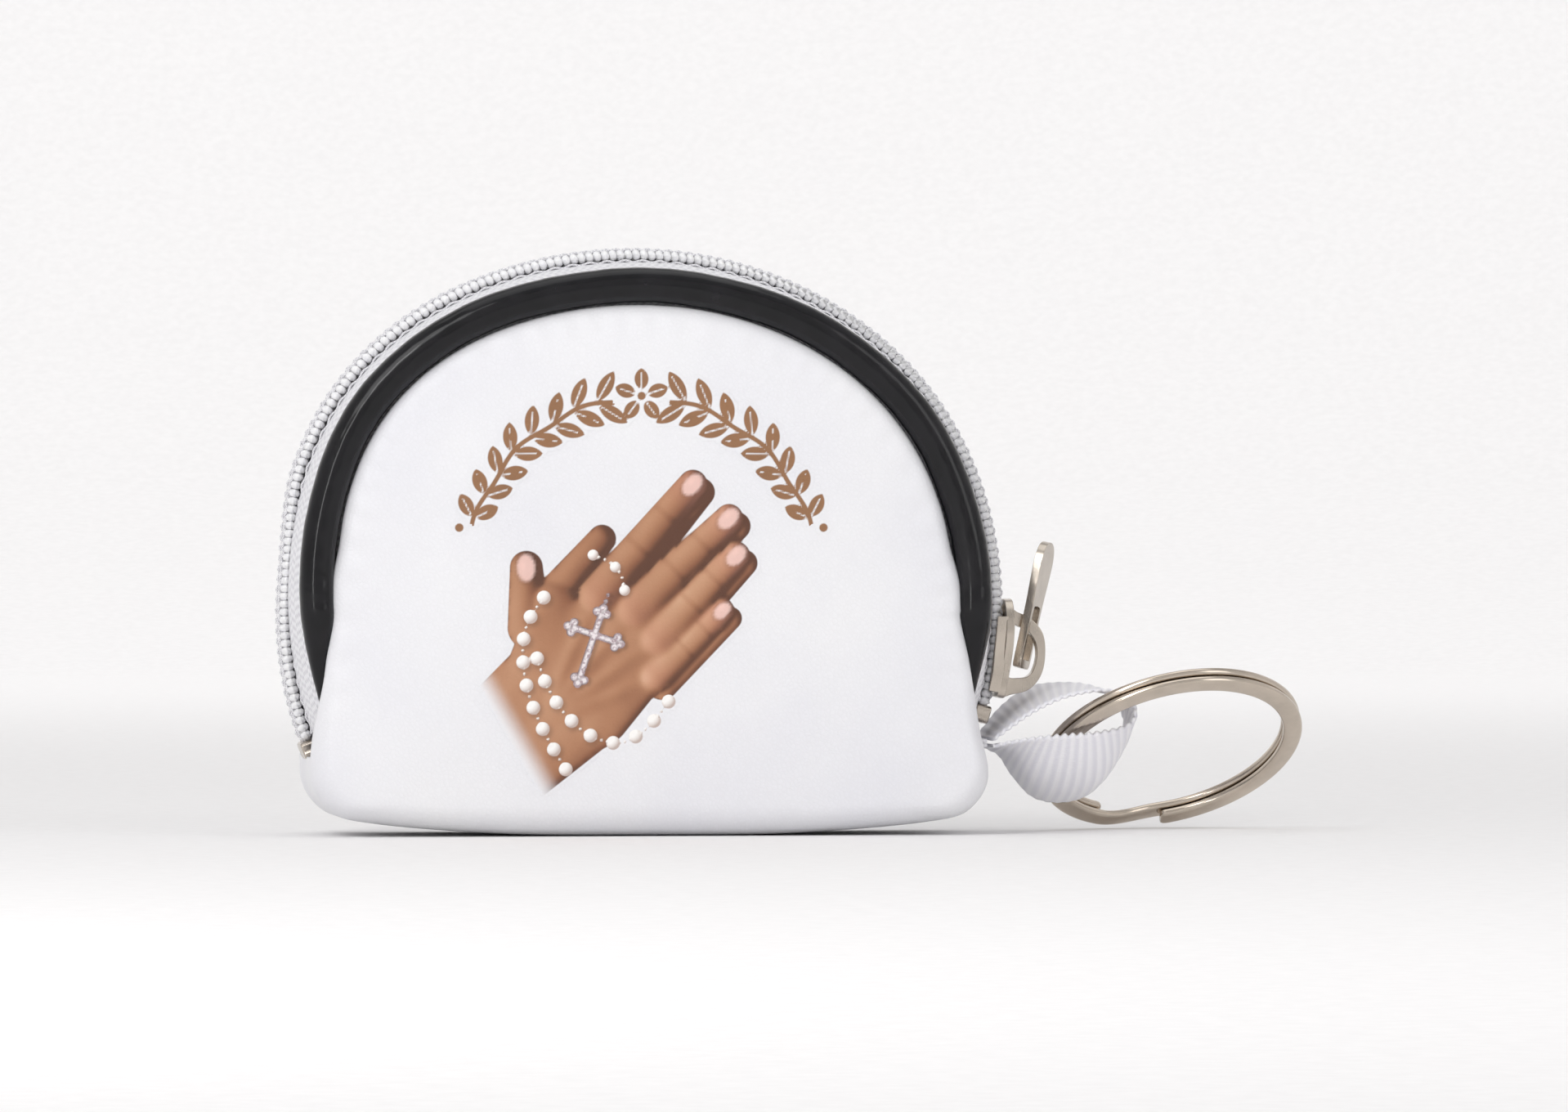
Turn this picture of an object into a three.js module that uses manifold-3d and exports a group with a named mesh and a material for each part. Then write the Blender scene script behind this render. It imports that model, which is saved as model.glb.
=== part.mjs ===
// A small zipped pouch for a rosary: a D-shaped case of white leatherette with black piping,
// a white nylon coil zip round its arch, a grosgrain ribbon loop at its right corner and a
// split key ring in the loop. Millimetres, +Z up, the printed front facing -Y, the origin on
// the middle of the flat base.
import * as THREE from "three";
import { mergeVertices } from "three/addons/utils/BufferGeometryUtils.js";
import Module from "manifold-3d";

const wasm = await Module();
wasm.setup();

// ---------------------------------------------------------------- driving dimensions
const GAP = 0.3; // clearance between pieces that touch on the real pouch

const ARCH_Z = 26.8; // height of the centre that the zip, piping and panels are struck from
const ZIP_R = 43.8; // crown of the zip, which is the outline of the pouch
const HALF_DEPTH = 12.4; // outer face of the front and back panels
const LEATHER = 1.2; // thickness of the leatherette
const LINING = 0.3; // thickness of the polyester lining
const FOLD_Z = 33; // the front opens above this height
const ARC_STEPS = 84; // facets in a full turn of a lathed piece

const PIPING_R = 39.6; // centreline of the piping bead
const BEAD_R = 1.85; // radius of the piping bead
const PANEL_R = PIPING_R - BEAD_R - GAP; // edge of the panels inside the piping
const PIPING_END = -13; // degrees below level where the piping dives into the seam

const TAPE = 0.5; // thickness of the zip tape
const TAPE_R = 42.5; // outer face of the tape under the coil
const COIL_R = ZIP_R + 0.6; // outer face of the coil
const COIL_IN = 0.6; // half of the gap that the slider's post runs in
const COIL_OUT = 2.4; // outer side of each coil
const ZIP_END = { right: -20.5, left: 204.5 }; // the tapes end here, in degrees
const COIL_END = { right: -14.9, left: 200.6 };
const STOP_ARC = 2; // degrees of arc that a zip stop covers

const SLIDER_AT = -5.5; // the slider's middle, in degrees above level
const SLIDER_ARC = 15.3; // degrees of arc that the slider covers
const SLIDER_HALF_WIDTH = 4.3;
const PLATE = 1; // thickness of the slider's two plates
const OUTER_PLATE_R = COIL_R + 0.35;
const INNER_PLATE_R = TAPE_R - TAPE - 0.45;
const BRIDGE_HALF_WIDTH = 1.1;

const RIBBON_WIDTH = 14;
const RIBBON = 0.5; // thickness of the ribbon
const RIBBON_BELLY = 1.8; // how far the lower layer sags between its edges
const RIBBON_ROOT = { x: 42.6, z: 11 }; // where the loop leaves the corner seam

const RING_R = 15.3; // centreline of the split ring's wire
const WIRE_RADIAL = 2.4;
const WIRE_AXIAL = 1.02; // one turn of the wire
const TURN_GAP = 0.16; // daylight between the two turns

const degrees = THREE.MathUtils.degToRad;
const V3 = (x, y, z) => new THREE.Vector3(x, y, z);

// ---------------------------------------------------------------- helpers
// A closed geometry with shared corners and its faces pointing out.
function closed(geometry) {
  const plain = new THREE.BufferGeometry();
  plain.setAttribute("position", geometry.getAttribute("position"));
  plain.setIndex(geometry.index);
  const merged = mergeVertices(plain, 1e-4);
  const p = merged.attributes.position;
  const index = merged.index.array;
  const [a, b, c] = [V3(), V3(), V3()];
  let volume = 0;
  for (let i = 0; i < index.length; i += 3) {
    a.fromBufferAttribute(p, index[i]);
    b.fromBufferAttribute(p, index[i + 1]);
    c.fromBufferAttribute(p, index[i + 2]);
    volume += a.dot(b.cross(c));
  }
  if (volume < 0) {
    for (let i = 0; i < index.length; i += 3) {
      [index[i + 1], index[i + 2]] = [index[i + 2], index[i + 1]];
    }
  }
  return merged;
}

function toSolid(geometry) {
  const g = closed(geometry);
  return new wasm.Manifold(
    new wasm.Mesh({
      numProp: 3,
      vertProperties: new Float32Array(g.attributes.position.array),
      triVerts: new Uint32Array(g.index.array),
    }),
  );
}

function toGeometry(solid) {
  const mesh = solid.getMesh();
  const geometry = new THREE.BufferGeometry();
  geometry.setAttribute(
    "position",
    new THREE.BufferAttribute(mesh.vertProperties, 3),
  );
  geometry.setIndex(new THREE.BufferAttribute(mesh.triVerts, 1));
  return geometry;
}

// A flat shape drawn in X and Z, standing between two depths along Y.
function plate(shape, y0, y1, curveSegments = 24) {
  const settings = { depth: y1 - y0, bevelEnabled: false, curveSegments };
  return new THREE.ExtrudeGeometry(shape, settings)
    .rotateX(Math.PI / 2)
    .translate(0, y1, 0);
}

function polygon(points) {
  return new THREE.Shape(points.map(([x, y]) => new THREE.Vector2(x, y)));
}

// A wedge about the arch's centre, from one angle to another, in degrees above level.
function wedge(from, to) {
  const reach = 90;
  const points = [[0, ARCH_Z]];
  const steps = Math.ceil((to - from) / 30);
  for (let i = 0; i <= steps; i++) {
    const a = degrees(from + ((to - from) * i) / steps);
    points.push([reach * Math.cos(a), ARCH_Z + reach * Math.sin(a)]);
  }
  return toSolid(plate(polygon(points), -40, 40));
}

// Part of a ring about the arch's centre. The profile lists radius and depth.
function arc(profile, from, to) {
  const points = [...profile, profile[0]].map(([r, y]) => new THREE.Vector2(r, y));
  const ring = new THREE.LatheGeometry(points, ARC_STEPS).translate(0, 0, ARCH_Z);
  return toSolid(ring).intersect(wedge(from, to));
}

const block = (x0, x1, y0, y1, z0, z1) =>
  toSolid(
    new THREE.BoxGeometry(x1 - x0, y1 - y0, z1 - z0).translate(
      (x0 + x1) / 2,
      (y0 + y1) / 2,
      (z0 + z1) / 2,
    ),
  );
const aboveFold = (solid) =>
  solid.intersect(block(-99, 99, -99, 99, FOLD_Z + GAP, 99));
const belowFold = (solid) =>
  solid.intersect(block(-99, 99, -99, 99, -99, FOLD_Z - GAP));

// The same profile on the other side of the pouch.
const mirrored = (profile) => profile.map(([r, y]) => [r, -y]).reverse();

// A closed body through a row of matching outlines, with flat ends.
function loft(sections, flatOutline) {
  const n = sections[0].length;
  const positions = sections.flat().flatMap((p) => [p.x, p.y, p.z]);
  const index = [];
  for (let i = 0; i + 1 < sections.length; i++) {
    for (let j = 0; j < n; j++) {
      const k = (j + 1) % n;
      const [a, b, c, d] = [i * n + j, i * n + k, (i + 1) * n + k, (i + 1) * n + j];
      index.push(a, b, c, a, c, d);
    }
  }
  const last = (sections.length - 1) * n;
  for (const [a, b, c] of THREE.ShapeUtils.triangulateShape(flatOutline, [])) {
    index.push(a, c, b, last + a, last + b, last + c);
  }
  const geometry = new THREE.BufferGeometry();
  geometry.setAttribute(
    "position",
    new THREE.Float32BufferAttribute(positions, 3),
  );
  geometry.setIndex(index);
  return closed(geometry);
}

// ---------------------------------------------------------------- materials
const material = (color, roughness, metalness = 0) =>
  new THREE.MeshStandardMaterial({ color, roughness, metalness });
const leatherette = material(0xf1f1f3, 0.55);
const liningCloth = material(0xe4e3e6, 0.9);
const blackVinyl = material(0x1c1b20, 0.3);
const zipTape = material(0xededf0, 0.9);
const zipNylon = material(0xf2f2f4, 0.45);
const binding = material(0xe6e6e8, 0.9);
const grosgrain = material(0xeaeaf2, 0.85);
const nickel = material(0xb9ab9e, 0.22, 1);
const steel = material(0xb4a89c, 0.2, 1);

const pouch = new THREE.Group();
function add(name, shape, finish, parent = pouch) {
  const geometry = shape.isBufferGeometry ? shape : toGeometry(shape);
  const mesh = new THREE.Mesh(geometry, finish);
  mesh.name = name;
  parent.add(mesh);
  return mesh;
}

// Adds an arched piece of the front half: its lower ends stay put, the rest swings open.
function addFrontArch(name, solid, finish) {
  const lower = belowFold(solid);
  add(`${name}_upper`, aboveFold(solid), finish);
  add(`${name}_left`, lower.intersect(block(-99, 0, -99, 99, -99, 99)), finish);
  add(`${name}_right`, lower.intersect(block(0, 99, -99, 99, -99, 99)), finish);
}

// ---------------------------------------------------------------- leatherette body
// The body's lower right corner, from the flat base up to the end of the zip.
const corner = new THREE.CubicBezierCurve(
  new THREE.Vector2(24, 0),
  new THREE.Vector2(33, 0),
  new THREE.Vector2(40.9, 2.8),
  new THREE.Vector2(40.9, 10.1),
);
const CORNER_STEPS = 9;

// Points along the bottom outline from right to left, moved inwards by inset.
function bottomOutline(inset, leftEnd = 8.7) {
  const right = [];
  for (let i = CORNER_STEPS; i >= 0; i--) {
    const p = corner.getPoint(i / CORNER_STEPS);
    const t = corner.getTangent(i / CORNER_STEPS);
    right.push([p.x - inset * t.y, p.y + inset * t.x]);
  }
  const left = right.map(([x, z]) => [-x, Math.min(z, leftEnd)]).reverse();
  return [...right, ...left];
}

// The front or back panel: the bottom corners, then the arch inside the piping.
function panelShape(edgeRadius, inset) {
  const shape = new THREE.Shape();
  const outline = bottomOutline(inset, 10.1);
  const shoulder = degrees(-16);
  const shoulderX = edgeRadius * Math.cos(shoulder);
  const shoulderZ = ARCH_Z + edgeRadius * Math.sin(shoulder);
  shape.moveTo(-shoulderX, shoulderZ);
  shape.lineTo(-(40.9 - inset), 12.6);
  for (const [x, z] of outline.reverse()) shape.lineTo(x, z);
  shape.lineTo(40.9 - inset, 12.6);
  shape.lineTo(shoulderX, shoulderZ);
  shape.absarc(0, ARCH_Z, edgeRadius, shoulder, Math.PI - shoulder, false);
  return shape;
}

const inner = HALF_DEPTH - LEATHER; // inner face of the panels
const leatherShape = panelShape(PANEL_R, 0);
const frontPanel = toSolid(plate(leatherShape, -HALF_DEPTH, -inner));
add("front_panel_upper", aboveFold(frontPanel), leatherette);
add("front_panel_lower", belowFold(frontPanel), leatherette);
add("back_panel", plate(leatherShape, inner, HALF_DEPTH), leatherette);

// The strip under the pouch, which curls up at its ends to meet the zip.
function bottomStrip(inset, thickness, halfDepth) {
  const outside = bottomOutline(inset);
  const inside = bottomOutline(inset + thickness).reverse();
  return plate(polygon([...outside, ...inside]), -halfDepth, halfDepth);
}
add("bottom_panel", bottomStrip(0, LEATHER, inner - GAP), leatherette);

// ---------------------------------------------------------------- lining
const liningOuter = inner - GAP;
const liningInner = liningOuter - LINING;
const LINING_R = 34;
const liningShape = panelShape(LINING_R, LEATHER + 2 * GAP + LINING + 4.4);
const frontLining = toSolid(plate(liningShape, -liningOuter, -liningInner));
add("front_lining_upper", aboveFold(frontLining), liningCloth);
add("front_lining_lower", belowFold(frontLining), liningCloth);
add("back_lining", plate(liningShape, liningInner, liningOuter), liningCloth);
add(
  "bottom_lining",
  bottomStrip(LEATHER + GAP, LINING, liningInner - GAP),
  liningCloth,
);

// ---------------------------------------------------------------- piping and seam
// The front piping: a round bead with a flat flange that is sewn into the seam.
const FLANGE = 0.4;
const BEAD_Y = -11;
const SEAM_R = 35; // free edges of the seam allowance, inside the pouch
function pipingProfile() {
  const profile = [];
  const neck = Math.PI * 0.93;
  for (let i = 0; i <= 10; i++) {
    const a = neck * (1 - i / 5);
    profile.push([PIPING_R + BEAD_R * Math.cos(a), BEAD_Y + BEAD_R * Math.sin(a)]);
  }
  const flangeFront = BEAD_Y + 0.1;
  profile.push([37.5, flangeFront], [SEAM_R + 0.6, flangeFront]);
  profile.push([SEAM_R + 0.6, flangeFront + FLANGE], [37.7, flangeFront + FLANGE]);
  return profile;
}
const pipingFront = pipingProfile();
const frontPiping = arc(pipingFront, PIPING_END, 180 - PIPING_END);
addFrontArch("front_piping", frontPiping, blackVinyl);
add(
  "back_piping",
  arc(mirrored(pipingFront), PIPING_END, 180 - PIPING_END),
  blackVinyl,
);

// The binding that wraps the raw edges of the seam inside the pouch.
const bindingFront = [
  [SEAM_R - 0.4, -10.8],
  [SEAM_R, -10.8],
  [SEAM_R, -7.95],
  [38.4, -7.95],
  [38.4, -7.65],
  [SEAM_R - 0.4, -7.65],
];
const frontBinding = arc(bindingFront, -14, 194);
addFrontArch("front_binding", frontBinding, binding);
add("back_binding", arc(mirrored(bindingFront), -14, 194), binding);

// ---------------------------------------------------------------- zip
// The front tape, from its allowance in the seam over the crown to the coil.
const tapeFront = [
  [SEAM_R + 0.4, -8.75],
  [39.9, -8.75],
  [41, -8.9],
  [41.9, -6.2],
  [TAPE_R - 0.1, -3.6],
  [TAPE_R, -COIL_IN],
  [TAPE_R - TAPE, -COIL_IN],
  [TAPE_R - TAPE - 0.1, -3.5],
  [41.4, -6],
  [40.7, -8.25],
  [SEAM_R + 0.4, -8.25],
];
const coilFront = [
  [TAPE_R + GAP, -COIL_OUT],
  [COIL_R - 0.5, -COIL_OUT],
  [COIL_R, -COIL_OUT + 0.5],
  [COIL_R, -COIL_IN],
  [TAPE_R + GAP, -COIL_IN],
];
const frontTape = arc(tapeFront, ZIP_END.right, ZIP_END.left);
addFrontArch("front_tape", frontTape, zipTape);
add(
  "back_tape",
  arc(mirrored(tapeFront), ZIP_END.right, ZIP_END.left),
  zipTape,
);
const frontCoil = arc(coilFront, COIL_END.right, COIL_END.left);
addFrontArch("front_coil", frontCoil, zipNylon);
add(
  "back_coil",
  arc(mirrored(coilFront), COIL_END.right, COIL_END.left),
  zipNylon,
);

// Two clips at the closed end, one on each coil, and one stop across both at the other end.
const STOP_R = COIL_R + 0.3;
const stopFront = [
  [TAPE_R + GAP, -COIL_OUT - 0.3],
  [STOP_R, -COIL_OUT - 0.3],
  [STOP_R, -COIL_IN],
  [TAPE_R + GAP, -COIL_IN],
];
const topStop = (profile) =>
  arc(profile, COIL_END.right - 0.4 - STOP_ARC, COIL_END.right - 0.4);
add("top_stop_front", topStop(stopFront), nickel);
add("top_stop_back", topStop(mirrored(stopFront)), nickel);
const stopAcross = stopFront.map(([r, y]) => [r, y === -COIL_IN ? COIL_OUT + 0.3 : y]);
add(
  "bottom_stop",
  arc(stopAcross, COIL_END.left + 0.4, COIL_END.left + 0.4 + STOP_ARC),
  nickel,
);

// ---------------------------------------------------------------- slider and pull tab
const sliderFrom = SLIDER_AT - SLIDER_ARC / 2;
const sliderTo = SLIDER_AT + SLIDER_ARC / 2;
const channel = [
  [OUTER_PLATE_R + PLATE, -SLIDER_HALF_WIDTH],
  [OUTER_PLATE_R + PLATE, SLIDER_HALF_WIDTH],
  [TAPE_R + 0.45, SLIDER_HALF_WIDTH],
  [TAPE_R + 0.45, SLIDER_HALF_WIDTH - 0.8],
  [OUTER_PLATE_R, SLIDER_HALF_WIDTH - 0.8],
  [OUTER_PLATE_R, -SLIDER_HALF_WIDTH + 0.8],
  [TAPE_R + 0.45, -SLIDER_HALF_WIDTH + 0.8],
  [TAPE_R + 0.45, -SLIDER_HALF_WIDTH],
];
const insidePlate = [
  [INNER_PLATE_R, -SLIDER_HALF_WIDTH + 0.4],
  [INNER_PLATE_R, SLIDER_HALF_WIDTH - 0.4],
  [INNER_PLATE_R - PLATE, SLIDER_HALF_WIDTH - 0.8],
  [INNER_PLATE_R - PLATE, -SLIDER_HALF_WIDTH + 0.8],
];
const post = [
  [INNER_PLATE_R - 0.1, -COIL_IN + GAP],
  [INNER_PLATE_R - 0.1, COIL_IN - GAP],
  [OUTER_PLATE_R + 0.1, COIL_IN - GAP],
  [OUTER_PLATE_R + 0.1, -COIL_IN + GAP],
];

// Places a geometry drawn with X outwards and Z along the zip on the slider's outer face.
const sliderFrame = new THREE.Matrix4()
  .makeTranslation(0, 0, ARCH_Z)
  .multiply(new THREE.Matrix4().makeRotationY(-degrees(SLIDER_AT)))
  .multiply(new THREE.Matrix4().makeTranslation(OUTER_PLATE_R + PLATE, 0, 0));

// The bridge: a D-shaped strap over the outer face, with the opening that holds the pull tab.
function bridge() {
  const strap = new THREE.Shape();
  strap.moveTo(-0.4, -5.4);
  strap.lineTo(0.8, -5.4);
  strap.bezierCurveTo(5.6, -5, 5.6, 2.6, 1.6, 4.2);
  strap.lineTo(-0.4, 4.4);
  strap.closePath();
  const opening = new THREE.Path();
  opening.moveTo(0, -3.1);
  opening.lineTo(2.2, -3.1);
  opening.bezierCurveTo(3.7, -2.4, 3.7, 1.6, 1.5, 2.7);
  opening.lineTo(0, 2.7);
  opening.closePath();
  strap.holes.push(opening);
  return plate(strap, -BRIDGE_HALF_WIDTH, BRIDGE_HALF_WIDTH, 8).applyMatrix4(sliderFrame);
}
add(
  "slider_body",
  arc(channel, sliderFrom, sliderTo)
    .add(arc(insidePlate, sliderFrom, sliderTo))
    .add(arc(post, sliderFrom, sliderFrom + 3))
    .add(toSolid(bridge())),
  nickel,
);

// The pull tab: an eye that rides on the bridge, then a tab with a rounded end.
const TAB_PIVOT = { out: 1.75, along: -1.7 }; // the eye's end bar, in the bridge's opening
const TAB_LEAN = 6.9; // degrees outwards from the zip
const TAB_TURN = 22; // degrees about the tab's own length, from the slack in its eye
const TAB_THICKNESS = 1.1;
function pullTab() {
  const outline = new THREE.Shape();
  outline.moveTo(-2, -0.5);
  outline.lineTo(2, -0.5);
  outline.lineTo(2.5, 0.2);
  outline.lineTo(2.5, 7.4);
  outline.bezierCurveTo(2.6, 9, 3.1, 11.5, 3, 13);
  outline.bezierCurveTo(2.8, 15.8, -2.8, 15.8, -3, 13);
  outline.bezierCurveTo(-3.1, 11.5, -2.6, 9, -2.5, 7.4);
  outline.lineTo(-2.5, 0.2);
  outline.closePath();
  const eye = new THREE.Path();
  eye.moveTo(-1.65, 0.5);
  eye.lineTo(1.65, 0.5);
  eye.lineTo(1.65, 7.2);
  eye.lineTo(-1.65, 7.2);
  eye.closePath();
  outline.holes.push(eye);
  const settings = { depth: TAB_THICKNESS, bevelEnabled: false, curveSegments: 6 };
  // drawn in X and Y, then stood up: width along Y, length along Z, thickness along X
  return new THREE.ExtrudeGeometry(outline, settings)
    .translate(0, 0, -TAB_THICKNESS / 2)
    .rotateX(Math.PI / 2)
    .rotateZ(Math.PI / 2 - degrees(TAB_TURN))
    .rotateY(degrees(TAB_LEAN))
    .translate(TAB_PIVOT.out, 0, TAB_PIVOT.along)
    .applyMatrix4(sliderFrame);
}
add("pull_tab", closed(pullTab()), nickel);

// ---------------------------------------------------------------- key ring
// The ring leans in the ribbon. Its wire passes through the loop at ringHold, along wireWay.
const ringHold = V3(51.3, -0.6, 10.05);
const ringAcross = V3(0.963, -0.118, 0.243).normalize(); // from the loop's side to the far side
const ringUp = V3(-0.234, -0.816, 0.5);
ringUp.addScaledVector(ringAcross, -ringUp.dot(ringAcross)).normalize();
const ringAxis = V3().crossVectors(ringAcross, ringUp);
const HOLD_ANGLE = degrees(155); // where on the ring the loop holds it
const wireWay = V3()
  .addScaledVector(ringAcross, Math.sin(HOLD_ANGLE))
  .addScaledVector(ringUp, -Math.cos(HOLD_ANGLE));
const ringCentre = ringHold
  .clone()
  .addScaledVector(ringAcross, -RING_R * Math.cos(HOLD_ANGLE))
  .addScaledVector(ringUp, -RING_R * Math.sin(HOLD_ANGLE));

// One wire goes round twice. It changes level once, in the short gap between its two ends.
function splitRing() {
  const from = degrees(255);
  const shift = degrees(32);
  const turn = 2 * Math.PI - shift;
  const total = 2 * turn + shift;
  const level = (WIRE_AXIAL + TURN_GAP) / 2;
  const bevel = 0.3;
  const [w, h] = [WIRE_RADIAL / 2, WIRE_AXIAL / 2];
  const outline = [
    [w, -h + bevel],
    [w, h - bevel],
    [w - bevel, h],
    [-w + bevel, h],
    [-w, h - bevel],
    [-w, -h + bevel],
    [-w + bevel, -h],
    [w - bevel, -h],
  ].map(([x, y]) => new THREE.Vector2(x, y));
  const steps = 120;
  const sections = [];
  for (let i = 0; i <= steps; i++) {
    const along = (total * i) / steps;
    const s = THREE.MathUtils.smoothstep(along, turn, turn + shift);
    const height = level * (1 - 2 * s);
    const a = from + along;
    sections.push(
      outline.map(({ x, y }) =>
        V3((RING_R + x) * Math.cos(a), (RING_R + x) * Math.sin(a), height + y),
      ),
    );
  }
  return loft(sections, outline);
}
const keyRing = add("key_ring", splitRing(), steel);
keyRing.position.copy(ringCentre);
keyRing.quaternion.setFromRotationMatrix(
  new THREE.Matrix4().makeBasis(ringAcross, ringUp, ringAxis),
);

// ---------------------------------------------------------------- ribbon loop
// The folded ribbon leaves the seam flat. Its near edge closes round the wire and its far
// edge splays open. Each edge runs out along the lower layer and back along the upper one.
const nearEdge = new THREE.CatmullRomCurve3([
  V3(42.6, -7, 10.6),
  V3(46, -6.9, 11.3),
  V3(50.5, -6.6, 11.85),
  V3(55.5, -6.2, 12.2),
  V3(59.3, -5.9, 13),
  V3(60.4, -5.9, 14.6),
  V3(59.4, -6, 16.6),
  V3(56.2, -6.2, 17.4),
  V3(51.5, -6.5, 16.6),
  V3(47.2, -6.8, 14.6),
  V3(42.6, -7, 11.4),
]);
const farEdge = new THREE.CatmullRomCurve3([
  V3(42.6, 7, 10.6),
  V3(45.2, 6.4, 9.4),
  V3(46.9, 5.6, 6.8),
  V3(49.4, 4.8, 4.2),
  V3(53, 4.6, 3.6),
  V3(56.5, 4.9, 4.8),
  V3(59.4, 5.7, 8.4),
  V3(61, 6.6, 12),
  V3(60.2, 7.1, 15.8),
  V3(57, 7.2, 17.6),
  V3(53, 7.3, 18),
  V3(49, 7.3, 17.4),
  V3(45.6, 7.2, 15),
  V3(42.6, 7, 11.4),
]);
function ribbonLoop() {
  const steps = 44;
  const across = [0, 0.25, 0.5, 0.75, 1];
  const near = nearEdge.getPoints(steps);
  const far = farEdge.getPoints(steps);
  const sections = [];
  for (let i = 0; i <= steps; i++) {
    const width = V3().subVectors(far[i], near[i]).normalize();
    const [nearOut, farOut] = [near, far].map((edge) => {
      const way = V3().subVectors(edge[Math.min(steps, i + 1)], edge[Math.max(0, i - 1)]);
      return V3().crossVectors(width, way).normalize();
    });
    const share = i / steps;
    const rise = THREE.MathUtils.smoothstep(share, 0.02, 0.2);
    const fall = 1 - THREE.MathUtils.smoothstep(share, 0.3, 0.5);
    const side = (layer) => (t) =>
      V3()
        .lerpVectors(near[i], far[i], t)
        .addScaledVector(
          V3().lerpVectors(nearOut, farOut, t),
          RIBBON_BELLY * rise * fall * Math.sin(Math.PI * t) + (layer * RIBBON) / 2,
        );
    sections.push([...across.map(side(-1)), ...across.map(side(1)).reverse()]);
  }
  const rim = [...across.map((t) => [t, 0]), ...across.map((t) => [t, 1]).reverse()];
  return loft(sections, rim.map(([x, y]) => new THREE.Vector2(x, y)));
}
add("ribbon_loop", ribbonLoop(), grosgrain);

// The ribbon's two ends, sewn one on the other into the corner seam.
add(
  "ribbon_root",
  block(37.6, RIBBON_ROOT.x - 3 * GAP, -RIBBON_WIDTH / 2, RIBBON_WIDTH / 2, 10.45, 11.55),
  grosgrain,
);

export default pouch;
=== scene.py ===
# Looks of the zipped rosary pouch: the leatherette body with its print, the piping, the zip
# with its coils, slider and pull tab, the ribbon loop and the split key ring.
# Lengths are in millimetres in the shape code and become metres when a mesh is made.
import math

import bmesh
import bpy
import numpy as np
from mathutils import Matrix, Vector
from mathutils.bvhtree import BVHTree


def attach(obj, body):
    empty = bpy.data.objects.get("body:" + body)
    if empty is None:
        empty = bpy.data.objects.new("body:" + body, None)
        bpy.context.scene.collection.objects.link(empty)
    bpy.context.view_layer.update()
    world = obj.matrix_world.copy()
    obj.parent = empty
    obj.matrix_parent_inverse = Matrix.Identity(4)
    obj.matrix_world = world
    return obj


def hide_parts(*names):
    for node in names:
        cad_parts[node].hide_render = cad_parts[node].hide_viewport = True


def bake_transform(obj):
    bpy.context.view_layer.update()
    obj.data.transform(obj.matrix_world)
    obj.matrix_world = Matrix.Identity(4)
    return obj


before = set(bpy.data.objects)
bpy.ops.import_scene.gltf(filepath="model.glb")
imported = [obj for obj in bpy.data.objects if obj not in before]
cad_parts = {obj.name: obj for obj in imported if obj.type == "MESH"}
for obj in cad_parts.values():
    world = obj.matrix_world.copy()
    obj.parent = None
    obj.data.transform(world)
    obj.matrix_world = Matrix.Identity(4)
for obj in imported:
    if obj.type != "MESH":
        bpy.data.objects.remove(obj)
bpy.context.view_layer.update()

MM = 0.001
ARCH_Z = 26.8  # height of the centre that the zip and the piping are struck from
FACE = 12.4  # depth of the panels' faces before they swell

# ---------------- mesh helpers


def smooth(t):
    t = np.clip(t, 0.0, 1.0)
    return t * t * (3 - 2 * t)


def grid(rows, columns, wrap_rows=False, wrap_columns=False):
    """The quads of a grid of points stored row by row."""
    faces = []
    for i in range(rows if wrap_rows else rows - 1):
        for j in range(columns if wrap_columns else columns - 1):
            k, n = (i + 1) % rows, (j + 1) % columns
            faces.append((i * columns + j, i * columns + n, k * columns + n, k * columns + j))
    return faces


def store(mesh, label, kind, field, values):
    """Give a mesh one named value, vector or colour per point."""
    attribute = mesh.attributes.new(label, kind, "POINT")
    attribute.data.foreach_set(field, np.asarray(values, np.float32).ravel())


def clean(mesh, merge=0.0):
    """Turn every face outwards, after joining points that are closer than merge metres."""
    shape = bmesh.new()
    shape.from_mesh(mesh)
    if merge:
        bmesh.ops.remove_doubles(shape, verts=shape.verts, dist=merge)
    bmesh.ops.recalc_face_normals(shape, faces=shape.faces)
    shape.to_mesh(mesh)
    shape.free()


def piece(name, points, faces, look, flow=None):
    """A smooth mesh object from points in millimetres. flow is distance along and across."""
    points = np.asarray(points, float).reshape(-1, 3)
    mesh = bpy.data.meshes.new(name)
    mesh.from_pydata((points * MM).tolist(), [], [list(f) for f in faces])
    for label, values in (("rest", points), ("flow", points if flow is None else flow)):
        store(mesh, label, "FLOAT_VECTOR", "vector", values)
    clean(mesh)
    mesh.shade_smooth()
    mesh.materials.append(look)
    made = bpy.data.objects.new(name, mesh)
    bpy.context.collection.objects.link(made)
    return made


def thicken(made, thickness, offset=-1.0):
    layer = made.modifiers.new("thickness", "SOLIDIFY")
    layer.thickness = thickness * MM
    layer.offset = offset
    layer.use_even_offset = True


def round_edges(made, width):
    bevel = made.modifiers.new("edges", "BEVEL")
    bevel.width = width * MM
    bevel.segments = 3
    bevel.limit_method = "ANGLE"
    bevel.angle_limit = math.radians(35)
    bevel.harden_normals = True


def shoulders(angle):
    """How far the soft pouch stands out of the true arch, most at its left shoulder."""
    left = 2.8 * np.exp(-0.5 * ((angle - 141) / 22) ** 2)
    return left + 0.95 * np.exp(-0.5 * ((angle - 36) / 20) ** 2)


def arch(angle, radius, depth):
    """Points of the arch: degrees above level, distance from its centre, and Y."""
    a = np.radians(angle)
    x = radius * np.cos(a)
    return np.stack([x, depth + 0 * x, ARCH_Z + radius * np.sin(a)], axis=-1)


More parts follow.
